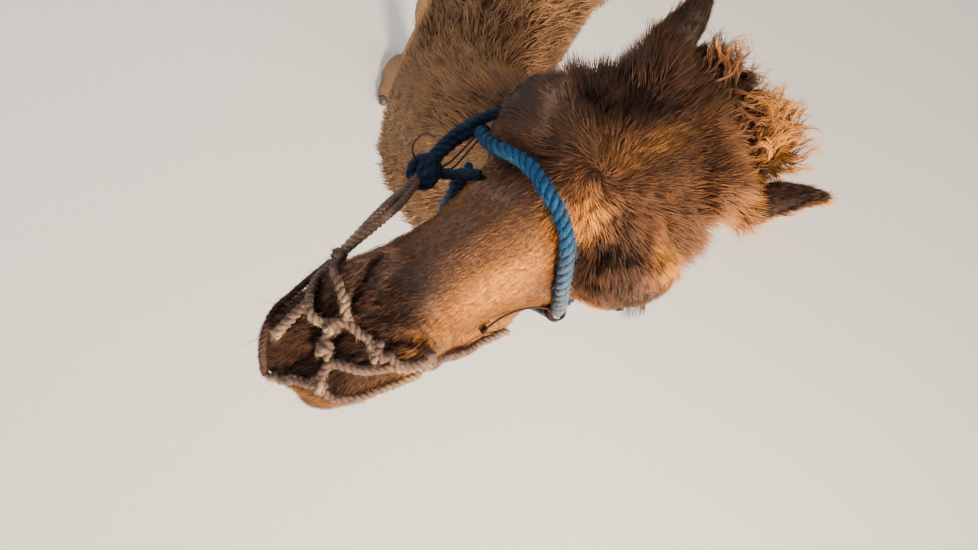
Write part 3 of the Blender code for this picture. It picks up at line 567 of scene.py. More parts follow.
@dataclass(frozen=True)
class Hide:
    """The one skin under the coat, from muzzle to tail."""

    head_voxel: float = 0.0037
    ear_voxel: float = 0.0022
    body_voxel: float = 0.0090
    body_triangles: int = 60000
    growth: float = 0.0006
    ear_growth: float = 0.0004
    seam_at: Point = (-0.035, -0.810, 1.520)
    seam_facing: Point = (0.38, -0.45, 0.81)
    seam_gap: float = 0.007
    neck_front: float = -0.55
    lid_depth: float = 0.0042
    eye_room: float = 0.0011
    eye_radius: float = 0.0205
    slit_at: Point = (0.018, -0.003, -0.0015)
    slit_radii: Point = (0.022, 0.0185, 0.0108)
    ear_nodes: tuple[str, ...] = ("ear_left", "ear_right")

    def body_nodes(self) -> list[str]:
        """The solids of flesh from the neck back."""
        limbs = [f"{end}_{part}" for end in ("fore", "hind") for part in ("leg", "foot")]
        paired = [f"{limb}_{side}" for limb in limbs for side in ("left", "right")]
        return ["neck", "trunk", "hump", "tail", *paired]

    def nodes(self) -> list[str]:
        """Every solid that the skin takes the place of."""
        return ["head", *self.ear_nodes, *self.body_nodes()]

    def head_part(self) -> Mesh:
        """The head and upper neck with ears, and lids round the eyes."""
        rough = remeshed(solid_of(("head", "neck"), self.growth, "head_part"), 0.0042, 16, "head_part")
        ears = remeshed(solid_of(self.ear_nodes, self.ear_growth, "ears"), self.ear_voxel, 5, "ears")
        balls = [(side, HEAD.matrix() @ Matrix.Translation(place)) for side, place in HEAD.eyes()]
        lids = [egg(ball, (self.eye_radius + self.lid_depth,) * 3, "lid") for _, ball in balls]
        head = mesh_from(shape_of(rough, ears, *lids), "head_part")
        head = remeshed(head, self.head_voxel, 2, "head_part")
        x, y, z = self.slit_at
        for side, ball in balls:
            room = egg(ball, (self.eye_radius + self.eye_room,) * 3, "eye_room", 40)
            head = carved(head, room, "head_part")
            slit = ball @ Matrix.Translation((side * x, y, z)) @ HEAD.lid_tilt(side)
            head = carved(head, egg(slit, self.slit_radii, "slit"), "head_part")
        return head

    def body_part(self) -> Mesh:
        """Everything from the middle of the neck back."""
        mesh = remeshed(solid_of(self.body_nodes(), self.growth, "body"), self.body_voxel, 7, "body")
        mesh.calc_loop_triangles()
        helper = show(mesh, "body")
        thin = helper.modifiers.new("Thin", "DECIMATE")
        thin.ratio = min(1.0, self.body_triangles / len(mesh.loop_triangles))
        return applied(helper, "body")

    def cut(self, mesh: Mesh, keep_head: bool) -> Mesh:
        """Cuts a part open across the neck.

        Args:
            mesh: The closed part.
            keep_head: Whether the head's side is kept, and not the body's.

        Returns:
            The open part.
        """
        facing = Vector(self.seam_facing).normalized()
        place = Vector(self.seam_at) + facing * (self.seam_gap if keep_head else 0.0)
        kept_way = facing if keep_head else -facing

        def in_reach(face: bmesh.types.BMFace) -> bool:
            """Whether the cut may touch the face."""
            return keep_head or face.calc_center_median().y < self.neck_front

        shape = shape_of(mesh)
        near = [f for f in shape.faces if in_reach(f)]
        geometry = list({v for f in near for v in f.verts} | {e for f in near for e in f.edges} | set(near))
        bmesh.ops.bisect_plane(shape, geom=geometry, plane_co=place, plane_no=facing)
        gone = [f for f in shape.faces if in_reach(f) and (f.calc_center_median() - place).dot(kept_way) < 0]
        bmesh.ops.delete(shape, geom=gone, context="FACES")
        return mesh_from(shape, mesh.name)

    def joined(self) -> Mesh:
        """The two parts bridged into one closed skin."""
        shape = shape_of(self.cut(self.head_part(), True), self.cut(self.body_part(), False))
        rim = [e for e in shape.edges if e.is_boundary]
        LOG.info("bridging the neck over %d edges", len(rim))
        ring = bmesh.ops.bridge_loops(shape, edges=rim)
        verts = list({v for f in ring["faces"] for v in f.verts})
        axes = {"use_axis_x": True, "use_axis_y": True, "use_axis_z": True}
        for _ in range(6):
            bmesh.ops.smooth_vert(shape, verts=verts, factor=0.5, **axes)
        bmesh.ops.triangulate(shape, faces=[f for f in shape.faces if len(f.verts) > 4])
        bmesh.ops.recalc_face_normals(shape, faces=shape.faces)
        return mesh_from(shape, "hide")

    def unwrap(self, hide: Object) -> None:
        """Gives the skin a map that unwraps its own shape."""
        hide.data.uv_layers.new(name="unwrap")
        bpy.ops.object.select_all(action="DESELECT")
        hide.select_set(True)
        bpy.context.view_layer.objects.active = hide
        bpy.ops.object.mode_set(mode="EDIT")
        bpy.ops.mesh.select_all(action="SELECT")
        bpy.ops.uv.smart_project(angle_limit=math.radians(72), island_margin=0.002)
        bpy.ops.object.mode_set(mode="OBJECT")

    def build(self) -> Object:
        """Makes the skin with its markings and its lie of the coat stored on it."""
        mesh = self.joined()
        Anatomy(mesh).store()
        hide = show(mesh, "hide")
        self.unwrap(hide)
        mesh.materials.append(SkinFinish().build())
        mesh.shade_smooth()
        return hide


@dataclass(frozen=True)
class Fold:
    """A groove, below 0, or a ridge, above 0, along a line of the head's frame.

    The height is the change at the line's middle, and the width is how far it reaches aside.
    """

    line: tuple[Point, ...]
    height: float
    width: float
    both_sides: bool = True

    def heights(self, points: Array) -> Array:
        """How far each point of the head's frame moves out along its normal.

        The line is first laid on the points, so that it only has to be near them.
        """
        total = np.zeros(len(points))
        for side in (LEFT, RIGHT) if self.both_sides else (LEFT,):
            line = np.array([(x * side, y, z) for x, y, z in self.line])
            steps = np.linspace(0, len(line) - 1, 4 * (len(line) - 1) + 1)
            fine = rows(*(np.interp(steps, np.arange(len(line)), axis) for axis in line.T))
            laid = [tuple(points[np.argmin(((points - spot) ** 2).sum(axis=1))]) for spot in fine]
            laid = [spot for spot, before in zip(laid, [None, *laid]) if spot != before]
            distance = along_line(points, laid)[0]
            total += self.height * np.exp(-((distance / self.width) ** 2))
        return total


NOSTRILS = (
    Fold(mm((33, -401, -38), (23, -417, -44), (9, -433, -51)), -0.0085, 0.0040, False),
    Fold(
        mm((-42, -391, -44), (-35, -404, -47), (-29, -415, -47), (-18, -432, -51)), -0.0090, 0.0046, False,
    ),
)
LIPS = (
    Fold(mm((-4, -440, -56), (-5, -465, -78), (-6, -484, -125)), -0.0055, 0.0038, False),
    Fold(mm((10, -478, -132), (34, -448, -136), (48, -400, -132), (56, -340, -122)), -0.0065, 0.0042),
)
FOLDS = NOSTRILS + LIPS + (
    Fold(mm((44, -398, -44), (34, -419, -51), (18, -440, -58)), 0.0034, 0.0065, False),
    Fold(mm((24, -396, -36), (14, -414, -43), (3, -428, -48)), 0.0030, 0.0060, False),
    Fold(mm((-45, -398, -44), (-47, -418, -54), (-34, -438, -57)), 0.0034, 0.0060, False),
    Fold(mm((-31, -396, -36), (-24, -413, -41), (-11, -428, -48)), 0.0036, 0.0055, False),
    Fold(mm((-36, -440, -62), (-20, -450, -60), (-8, -446, -58)), -0.0024, 0.0040, False),
    Fold(mm((28, -436, -56), (16, -448, -60), (4, -446, -58)), -0.0024, 0.0040, False),
    Fold(mm((-52, -452, -96), (-47, -478, -98), (-36, -489, -102)), -0.0075, 0.0230, False),
    Fold(mm((-47, -396, -76), (-47, -418, -92), (-43, -440, -92)), 0.0065, 0.0190, False),
    Fold(mm((-18, -486, -122), (-4, -483, -127)), 0.0055, 0.0130, False),
    Fold(mm((22, -468, -168), (36, -458, -166), (44, -440, -162)), -0.0040, 0.0160, False),
    Fold(mm((56, -372, -86), (61, -338, -82), (66, -300, -80)), 0.0090, 0.0170, False),
    Fold(mm((56, -340, -122), (64, -305, -112)), -0.0035, 0.0050),
    Fold(mm((40, -436, -118), (52, -395, -114), (60, -340, -104)), 0.0022, 0.0070),
    Fold(mm((22, -465, -158), (40, -420, -154), (46, -370, -146)), 0.0020, 0.0070),
    Fold(mm((48, -400, -60), (56, -370, -72), (60, -330, -82)), -0.0024, 0.0055),
    Fold(mm((50, -392, -78), (56, -355, -88)), -0.0018, 0.0045),
    Fold(mm((62, -215, -22), (78, -203, -6), (96, -180, 1), (104, -150, -2)), 0.0040, 0.0110),
    Fold(mm((98, -212, -22), (112, -194, -16), (116, -168, -18)), 0.0055, 0.0095),
    Fold(mm((83, -214, -40), (100, -200, -24), (112, -178, -24), (112, -156, -34)), -0.0030, 0.0036),
    Fold(mm((80, -214, -58), (96, -204, -72), (110, -182, -74), (110, -158, -66)), -0.0026, 0.0040),
    Fold(mm((72, -218, -70), (88, -206, -86), (102, -180, -88)), -0.0018, 0.0046),
    Fold(mm((60, -250, -52), (70, -225, -54), (80, -210, -50)), -0.0035, 0.0060),
    Fold(mm((40, -345, -26), (50, -300, -40), (60, -262, -58)), 0.0028, 0.0080),
    Fold(mm((44, -360, -60), (56, -310, -70), (66, -262, -76)), -0.0024, 0.0090),
    Fold(mm((75, -120, -100), (62, -180, -118), (52, -240, -126)), -0.0030, 0.0120),
    Fold(mm((0, -150, 4), (0, -90, 12), (0, -40, 12)), -0.0030, 0.0130, False),
    Fold(mm((-40, -2, 30), (2, 4, 36), (45, -2, 26), (88, -14, -2)), -0.0050, 0.0080, False),
)


@dataclass(frozen=True)
class Marking:
    """A soft spot of the head that is paler, or below 0 darker, or greyer than what is round it."""

    centre: Point
    radii: Point
    tone: float
    ash: float = 0.0


# Some markings stand in for light and shade: painted light on the rear of the left brow, over the curls and
# below the whorl, painted sky light on the nose ridge, and painted shade on the left brow and right temple.
MARKINGS = {
    # Partly painted highlight: the streak below the whorl is made paler where light falls on it.
    "golden streak below the whorl, partly painted highlight": Marking(*mm((14, -222, -2), (22, 30, 30)), 0.66),
    "pale fan over the whorl": Marking(*mm((-18, -148, 10), (26, 40, 30)), 0.26),
    "pale streak up the forehead": Marking(*mm((-4, -85, 12), (20, 50, 30)), 0.36),
    "streak from whorl to left ear": Marking(*mm((50, -100, 5), (22, 60, 30)), 0.14),
    # Partly painted shade: the right temple is made darker where it lies in shade.
    "dark right temple, partly painted shade": Marking(*mm((-68, -70, -4), (45, 60, 40)), -0.36),
    "dark left temple": Marking(*mm((84, -120, -12), (26, 40, 30)), -0.16),
    # Painted shade: the left brow is made darker where it lies in shade.
    "painted shade on the left brow": Marking(*mm((62, -212, -10), (37, 37, 34)), -0.60),
    "lit rear of left brow": Marking(*mm((89, -172, -3), (24, 32, 24)), 0.52, -0.3),
    "greyish right brow": Marking(*mm((-95, -190, -4), (40, 45, 35)), -0.22, 0.10),
    "golden left side of the nose": Marking(*mm((30, -320, -30), (24, 85, 30)), 0.52, -0.35),
    "golden left cheek": Marking(*mm((50, -335, -80), (30, 80, 35)), 0.22, -0.2),
    "golden below the left eye": Marking(*mm((98, -196, -66), (22, 36, 13)), 0.45),
    # Partly painted sky light: the nose's shaded right side is made paler and greyer.
    "greyish nose ridge, partly painted sky light": Marking(*mm((-40, -320, -40), (36, 78, 36)), 0.30, 0.38),
    "dark bridge between the nostrils": Marking(*mm((-11, -400, -40), (27, 38, 30)), -0.75, -0.30),
    "dark muzzle": Marking(*mm((-10, -466, -74), (50, 42, 36)), -0.75, -0.30),
    "dark right lip": Marking(*mm((-30, -476, -90), (36, 36, 40)), -0.24, -0.15),
    "golden chin": Marking(*mm((28, -474, -112), (30, 40, 22)), 0.46, -0.2),
    # Partly painted light: the golden curls reach into the shaded gap between crown and left ear.
    "golden curls, partly painted light": Marking(*mm((78, 18, 0), (54, 54, 50)), 0.36),
    "paler poll": Marking(*mm((8, 10, 34), (50, 40, 30)), 0.10),
}


@dataclass(frozen=True)
class Patch:
    """What the coat is like on one stretch of the animal, by a soft weight over the skin."""

    length: float
    lift: float
    depth: float
    tone: float
    ash: float = 0.0


@dataclass(frozen=True)
class Ear:
    """Where an ear stands in the head's frame."""

    root: Point
    direction: Point
    length: float = 0.101

    def way(self) -> Array:
        """The direction from its root to its tip, with a length of 1."""
        return np.array(self.direction) / np.linalg.norm(self.direction)


class Anatomy:
    """Shapes the skin and works out the coat's lie, length and markings at each of its vertices."""

    ears: tuple[Ear, ...] = (
        Ear((0.094, -0.024, -0.024), (0.46, 0.60, 0.66)),
        Ear((-0.084, -0.021, -0.010), (-0.40, 0.74, 0.54)),
    )
    whorl: Point = (-0.011, -0.183, 0.006)
    behind_jaw: tuple[float, float] = (-0.060, -0.262)
    behind_poll: tuple[float, float] = (0.138, 0.070)
    neck_line: tuple[Point, ...] = (
        (0.06, -0.90, 1.86),
        (0.005, -0.859, 1.63),
        (-0.06, -0.807, 1.50),
        (-0.086, -0.709, 1.37),
        (-0.066, -0.559, 1.325),
        (-0.026, -0.369, 1.375),
        (0.0, -0.149, 1.46),
    )
    throat_way: Point = (0.0, -0.55, -1.0)
    floor_gap: float = 0.006

    def __init__(self, mesh: Mesh) -> None:
        """Measures the skin before it is shaped."""
        self.mesh = mesh
        self.world = vectors_of(mesh.vertices, "co")
        self.normal = vectors_of(mesh.vertex_normals, "vector")
        self.head = HEAD.inward(self.world)
        self.ahead = self.ahead_of_neck(self.head)
        self.on_head = smooth_step(-0.035, 0.035, self.ahead)
        self.body = 1 - self.on_head
        self.from_neck, self.down_neck, self.off_neck = along_line(self.world, self.neck_line)
        self.ear, self.ear_heading = self.ear_weights()
        x, y, z = HEAD.eye_at
        self.from_eye = self.nearest([(x * side, y, z) for side in (LEFT, RIGHT)])
        self.near_eye = smooth_step(0.036, 0.0255, self.from_eye)

    def ahead_of_neck(self, head: Array) -> Array:
        """How far points of the head's frame lie ahead of the line from the jaw's rear to the poll's."""
        low, high = np.array(self.behind_jaw), np.array(self.behind_poll)
        along = (high - low) / np.linalg.norm(high - low)
        return (head[:, 1:] - low) @ np.array((-along[1], along[0]))

    def nearest(self, places: list[Point]) -> Array:
        """Each vertex's distance from the nearest of the places."""
        return np.min([np.linalg.norm(self.head - place, axis=1) for place in places], axis=0)

    def ear_weights(self) -> tuple[Array, Array]:
        """Each vertex's weight as ear, and the direction from root to tip."""
        weight, heading = np.zeros(len(self.head)), np.zeros_like(self.head)
        for ear in self.ears:
            root, way = np.array(ear.root), ear.way()
            distance = along_line(self.head, (root, root + way * ear.length))[0]
            beyond = (self.head - root) @ way
            here = smooth_step(0.044, 0.032, distance) * smooth_step(0.008, 0.026, beyond)
            weight = np.maximum(weight, here)
            heading[here > 0] = way
        return weight, heading

    def ear_base(self) -> Array:
        """Each vertex's weight as the fluffy surround of an ear's root."""
        return smooth_step(0.050, 0.034, self.nearest([ear.root for ear in self.ears])) * self.on_head

    def inside_ear(self) -> Array:
        """Each vertex's weight as the inner side of an ear."""
        normal = self.normal @ np.array(HEAD.matrix().to_3x3())
        inward = normal[:, 0] * (0.45 + 0.80 * np.sign(self.head[:, 0]))
        facing = (normal * (-0.45, -0.45, -0.40)).sum(axis=1) + inward
        return self.ear * smooth_step(0.35, 0.75, facing)

    def hang(self) -> Array:
        """How far each vertex lies on the neck's underside, or, below 0, on its top."""
        down = np.array(self.throat_way)
        across = down - self.down_neck * (self.down_neck @ down)[:, None]
        return (self.off_neck * unit(across)).sum(axis=1)

    def body_patches(self) -> list[tuple[Array, Patch]]:
        """The coat's stretches behind the head, each with its weight."""
        x, y, z = self.world.T
        neck = self.body * smooth_step(0.34, 0.18, self.from_neck) * smooth_step(-0.06, -0.46, y)
        hump = smooth_step(1.60, 1.92, z) * smooth_step(-0.06, 0.08, y) * self.body
        tail = smooth_step(1.165, 1.190, y) * smooth_step(0.12, 0.10, np.abs(x))
        hang = self.hang()
        mane = neck * smooth_step(0.02, 0.10, -hang)
        shoulder = blobs(self.world, (0.17, -0.09, 1.45), (0.16, 0.20, 0.30))
        belly = smooth_step(1.22, 1.10, z) * smooth_step(1.0, 1.04, z) * self.body
        return [
            (np.ones(len(x)), Patch(0.035, 0.10, 0.0070, 0.60)),
            (belly, Patch(0.028, 0.09, 0.0070, 0.78)),
            (np.clip(shoulder, 0, 1), Patch(0.042, 0.25, 0.0100, 0.56)),
            (neck, Patch(0.021, 0.42, 0.0070, 0.57)),
            (mane, Patch(0.050, 0.50, 0.0110, 0.40)),
            (mane * smooth_step(1.55, 1.75, z), Patch(0.075, 0.75, 0.0120, 0.28)),
            (neck * smooth_step(0.02, 0.10, hang), Patch(0.046, 0.50, 0.0110, 0.44)),
            (hump, Patch(0.052, 0.55, 0.0140, 0.48)),
            (smooth_step(1.02, 0.86, z), Patch(0.018, 0.22, 0.0040, 0.60)),
            (smooth_step(0.72, 0.60, z), Patch(0.012, 0.18, 0.0028, 0.66)),
            (smooth_step(0.16, 0.10, z), Patch(0.010, 0.22, 0.0016, 0.46, 0.25)),
            (tail, Patch(0.034, 0.25, 0.0050, 0.50)),
            (tail * smooth_step(1.12, 1.02, z), Patch(0.085, 0.30, 0.0120, 0.16)),
        ]

    def head_patches(self) -> list[tuple[Array, Patch]]:
        """The coat's stretches on the head, each with its weight."""
        on = self.on_head
        side, front, up = self.head.T
        wide = np.abs(side)
        nose = on * smooth_step(-0.225, -0.275, front)
        top = on * smooth_step(-0.075, -0.020, up)
        crown = on * smooth_step(-0.016, 0.010, front + 0.10 * side) * smooth_step(-0.100, -0.060, up)
        crown_rim = crown * blob(self.head, (0.084, 0.010, -0.016), (0.034, 0.036, 0.046))
        cheek = on * smooth_step(0.045, 0.075, wide) * smooth_step(-0.035, -0.070, up)
        jaw = on * smooth_step(-0.140, -0.175, up)
        tip = on * smooth_step(-0.375, -0.425, front)
        lips = on * smooth_step(-0.40, -0.45, front) * smooth_step(-0.095, -0.125, up)
        ruff = on * smooth_step(-0.135, -0.105, front) * smooth_step(0.060, 0.078, wide)
        ruff = ruff * smooth_step(-0.02, -0.05, up)
        temple = 1.6 * on * blob(rows(wide, front, up), (0.092, -0.076, -0.028), (0.030, 0.066, 0.044))
        temple = np.clip(temple, 0, 1)
        brow = on * blobs(self.head, (0.098, -0.182, -0.018), (0.028, 0.048, 0.024))
        return [
            (on, Patch(0.014, 0.26, 0.0036, 0.46)),
            (cheek, Patch(0.014, 0.26, 0.0040, 0.60)),
            (jaw, Patch(0.022, 0.36, 0.0050, 0.56)),
            (top, Patch(0.020, 0.28, 0.0060, 0.17)),
            (nose, Patch(0.0080, 0.18, 0.0024, 0.45, 0.30)),
            (nose * cheek, Patch(0.0085, 0.20, 0.0024, 0.72, 0.05)),
            (ruff, Patch(0.036, 0.60, 0.0080, 0.44)),
            (temple * (side < 0), Patch(0.058, 0.85, 0.0080, 0.12)),
            (temple * (side > 0), Patch(0.048, 0.80, 0.0080, 0.26)),
            (crown, Patch(0.052, 0.85, 0.0125, 0.32)),
            (crown_rim, Patch(0.072, 0.95, 0.0125, 0.40)),
            (np.clip(brow, 0, 1), Patch(0.0085, 0.20, 0.0024, 0.28, 0.45)),
            (tip, Patch(0.0115, 0.50, 0.0018, 0.32, 0.20)),
            (lips, Patch(0.0070, 0.40, 0.0012, 0.40, 0.25)),
            (self.ear_base() * (1 - 0.8 * crown), Patch(0.036, 0.60, 0.0050, 0.34)),
            (self.ear, Patch(0.012, 0.26, 0.0008, 0.02)),
            (self.inside_ear(), Patch(0.020, 0.45, 0.0002, 0.62)),
            (self.near_eye, Patch(0.0042, 0.20, 0.0, 0.12, 0.1)),
        ]

    def patched(self) -> dict[str, Array]:
        """The coat's length, lift, depth, tone and ash; a later stretch covers an earlier one."""
        values = {name: np.zeros(len(self.world)) for name in ("length", "lift", "depth", "tone", "ash")}
        for weight, patch in self.body_patches() + self.head_patches():
            for name, total in values.items():
                total += (getattr(patch, name) - total) * weight
        return values

    def pads(self) -> list[tuple[Point, Point]]:
        """The kneeling pads on chest, elbows, wrists and stifles: middles and radii."""
        pads = [((0.0, 0.056, 0.99), (0.075, 0.095, 0.035))]
        for side, lean, hind in ((LEFT, -0.045, 0.055), (RIGHT, 0.125, -0.045)):
            pads += [((0.140 * side, -0.130 + lean * 0.53, 0.55), (0.050, 0.040, 0.080))]
            pads += [((0.158 * side, 0.085 + lean * 0.1, 1.03), (0.055, 0.048, 0.055))]
            pads += [((0.160 * side, 0.700 + hind * 0.05, 1.10), (0.055, 0.048, 0.060))]
        return pads

    def bare(self) -> Array:
        """The weight of bare skin: lid rims, nostril slits, lip edges, soles and kneeling pads."""
        slits = smooth_step(0.45, 0.85, self.folded(NOSTRILS + LIPS)) * self.on_head
        rims = smooth_step(0.0285, 0.0262, self.from_eye) * self.on_head
        soles = smooth_step(0.022, 0.010, self.world[:, 2])
        pads = [smooth_step(0.25, 0.90, blob(self.world, *pad)) * 0.8 for pad in self.pads()]
        return np.clip(np.max([slits, rims, soles, *pads], axis=0), 0, 1)

    def folded(self, folds: tuple[Fold, ...]) -> Array:
        """Each vertex's nearness to a fold's line, 1 on it."""
        return np.max([fold.heights(self.head) / fold.height for fold in folds], axis=0)

    def body_lie(self) -> Array:
        """The way the coat lies behind the head, in the world."""
        x, y, z = self.world.T
        lie = rows(x * 0, 0.9, -0.55)
        hump = smooth_step(1.78, 1.90, z) * smooth_step(-0.06, 0.08, y)
        lie = blend(lie, unit(rows(x * 2.5, (y - 0.40) * 1.2, -0.30)), hump)
        lie = blend(lie, rows(x * 0, 0.18, -1.0), smooth_step(1.10, 0.90, z))
        lie = blend(lie, rows(x * 0, 0.0, -1.0), smooth_step(1.165, 1.190, y) * (np.abs(x) < 0.12))
        neck = smooth_step(0.30, 0.20, self.from_neck) * smooth_step(-0.15, -0.34, y)
        return blend(lie, self.down_neck + np.array((0.0, 0.0, -0.35)), neck)

    def head_lie(self) -> Array:
        """The way the coat lies on the head, in the head's frame."""
        side, front, up = self.head.T
        nose = rows(side * 3.0, -0.85, -0.10)
        lie = blend(self.swirl(), nose, smooth_step(-0.20, -0.26, front))
        rear = smooth_step(-0.32, -0.16, front)
        cheek = blend(rows(side * 0, -0.55, -0.55), rows(side * 0, 0.75, -0.65), rear)
        lie = blend(lie, cheek, smooth_step(-0.045, -0.085, up))
        crown = smooth_step(-0.03, 0.01, front) * smooth_step(-0.09, -0.05, up)
        lie = blend(lie, unit(self.head - np.array((0.0, -0.03, -0.07))), crown)
        return blend(unit(lie), self.ear_heading, self.ear)

    def swirl(self) -> Array:
        """Away from the whorl, turning as it leaves it."""
        offset = self.head - np.array(self.whorl)
        offset[:, 2] *= 0.2
        away = unit(offset)
        angle = 1.35 * np.exp(-np.linalg.norm(offset, axis=1) / 0.030)
        aside = rows(-away[:, 1], away[:, 0], 0.0)
        return away * np.cos(angle)[:, None] + aside * np.sin(angle)[:, None]

    def lie(self, length: Array) -> Array:
        """The way the coat lies at each vertex, along the skin, wilder where the coat is long."""
        total = blend(unit(self.body_lie()), unit(HEAD.outward(self.head_lie())), self.on_head)
        wild = smooth_step(0.012, 0.050, length)[:, None]
        total += waves(self.world, 0.035, 5) * (0.10 + 0.42 * wild)
        total += waves(self.world, 0.013, 6) * (0.05 + 0.22 * wild)
        total -= (total * self.normal).sum(axis=1)[:, None] * self.normal
        return unit(total)

    def grain(self) -> Array:
        """Each vertex's place, squeezed along the coat's lie, so that fine streaks run with the hair."""
        legs = smooth_step(1.10, 0.90, self.world[:, 2])
        nose = tuple(HEAD.turned((0.0, 1.0, 0.0)))
        squeezed = self.world * 1.0
        everywhere = np.ones(len(self.world))
        ways = ((everywhere, (0.0, 0.85, -0.52)), (legs, (0.0, 0.0, 1.0)), (self.on_head, nose))
        for weight, way in ways:
            way = np.array(way) / np.linalg.norm(way)
            flat = self.world - 0.88 * (self.world @ way)[:, None] * way
            squeezed += (flat - squeezed) * weight[:, None]
        return squeezed

    def marks_and_painted_light(self) -> tuple[Array, Array]:
        """How much paler and how much greyer the head's markings make each vertex, with painted shade in the
        nostrils and the painted light and shade that some markings carry.
        """
        # Painted shade: the nostril grooves are made darker.
        marks_and_painted_light, grey = -self.folded(NOSTRILS) * 0.25, np.zeros(len(self.head))
        for marking in MARKINGS.values():
            spot = blob(self.head, marking.centre, marking.radii)
            marks_and_painted_light += spot * marking.tone
            grey += spot * marking.ash
        return marks_and_painted_light, grey

    def relief(self) -> tuple[Array, Array]:
        """How far the head's folds and the skin's small lumps move each vertex out."""
        height = self.world[:, 2]
        folds = sum(fold.heights(self.head) for fold in FOLDS) * self.on_head
        off_lids = smooth_step(0.12, 0.0, self.near_eye)
        lumps = waves(self.world, 0.09, 21)[:, 0] * 0.0012 + waves(self.world, 0.03, 22)[:, 1] * 0.0006
        return folds, lumps * off_lids * (1 - smooth_step(0.20, 0.05, height))

    def shape(self, depth: Array) -> None:
        """Sinks the skin by the coat's depth, adds its relief and keeps it above the floor."""
        move = -depth
        for relief in self.relief():
            move += relief
        points = self.world + self.normal * move[:, None]
        low = points[:, 2] < self.floor_gap
        points[low, 2] = np.maximum(points[low, 2] * 0.2, 0.0)
        self.mesh.vertices.foreach_set("co", points.astype(np.float32).ravel())
        self.mesh.update()

    def store(self) -> None:
        """Shapes the skin and stores everything that coat and finish read."""
        values = self.patched()
        length, tone = values["length"], values["tone"]
        _, front, up = self.head.T
        on = self.on_head
        marks_and_painted_light, grey = self.marks_and_painted_light()
        tone += marks_and_painted_light * on + waves(self.world, 0.16, 11)[:, 0] * 0.06
        # Painted shade: a band across the poll, in the groove between forehead and crown, is made darker.
        tone -= np.exp(-((front - 0.004) / 0.012) ** 2) * (up > -0.03) * on * 0.12
        bare = self.bare()
        feet = smooth_step(0.20, 0.12, self.world[:, 2])
        cheeks = smooth_step(0.20, 0.0, self.ahead) * smooth_step(-0.055, -0.110, up)
        denser = 0.75 + 0.25 * np.clip(0.012 / length, 0.3, 2)
        stored = {
            "length": length,
            "lift": values["lift"],
            "tone": np.clip(tone, 0, 1),
            "ash": np.clip(values["ash"] + grey * on, 0, 1),
            "sand": 0.62 * smooth_step(0.20, 0.60, tone) * np.clip(self.body + cheeks, 0, 1),
            "grain": self.grain(),
            "bare": bare,
            "thick": np.clip(1 - bare * 1.3, 0, 1) * denser * (1 + 2 * feet),
            "lie": self.lie(length),
        }
        self.shape(values["depth"])
        for name, value in stored.items():
            store(self.mesh, name, value)
        self.store_regions()

    def store_regions(self) -> None:
        """Stores on each face the stretch of coat that it belongs to; a later one covers an earlier."""
        mesh = self.mesh
        centre = vectors_of(mesh.polygons, "center")
        head = HEAD.inward(centre)
        x, y, z = centre.T
        side, front, up = head.T
        near_neck = (y < -0.30) & (along_line(centre, self.neck_line)[0] < 0.35)
        on = self.ahead_of_neck(head) > 0
        ear = self.ear[np.array([p.vertices[0] for p in mesh.polygons])] > 0.5
        stretches = (
            (x < 0, Region.TRUNK_RIGHT),
            ((z > 1.84) & (y > -0.05), Region.HUMP),
            (z < 0.98, Region.LEGS),
            ((y > 1.172) & (np.abs(x) < 0.12), Region.TAIL),
            (near_neck, Region.NECK_LOWER),
            (near_neck & (z > 1.44) & (y < -0.56), Region.NECK_UPPER),
            (on & (side > 0), Region.FACE_LEFT),
            (on & (side <= 0), Region.FACE_RIGHT),
            (on & (up > -0.050) & (front > -0.235), Region.FOREHEAD),
            (on & (front < -0.270), Region.NOSE),
            (on & (front < -0.372), Region.MUZZLE),
            (on & (front + 0.10 * side > -0.010) & (up > -0.090), Region.CROWN),
            (on & ear, Region.EARS),
        )
        region = np.full(len(x), Region.TRUNK_LEFT.value)
        for here, stretch in stretches:
            region[here] = stretch.value
        store(mesh, "region", region.astype(int), "FACE")


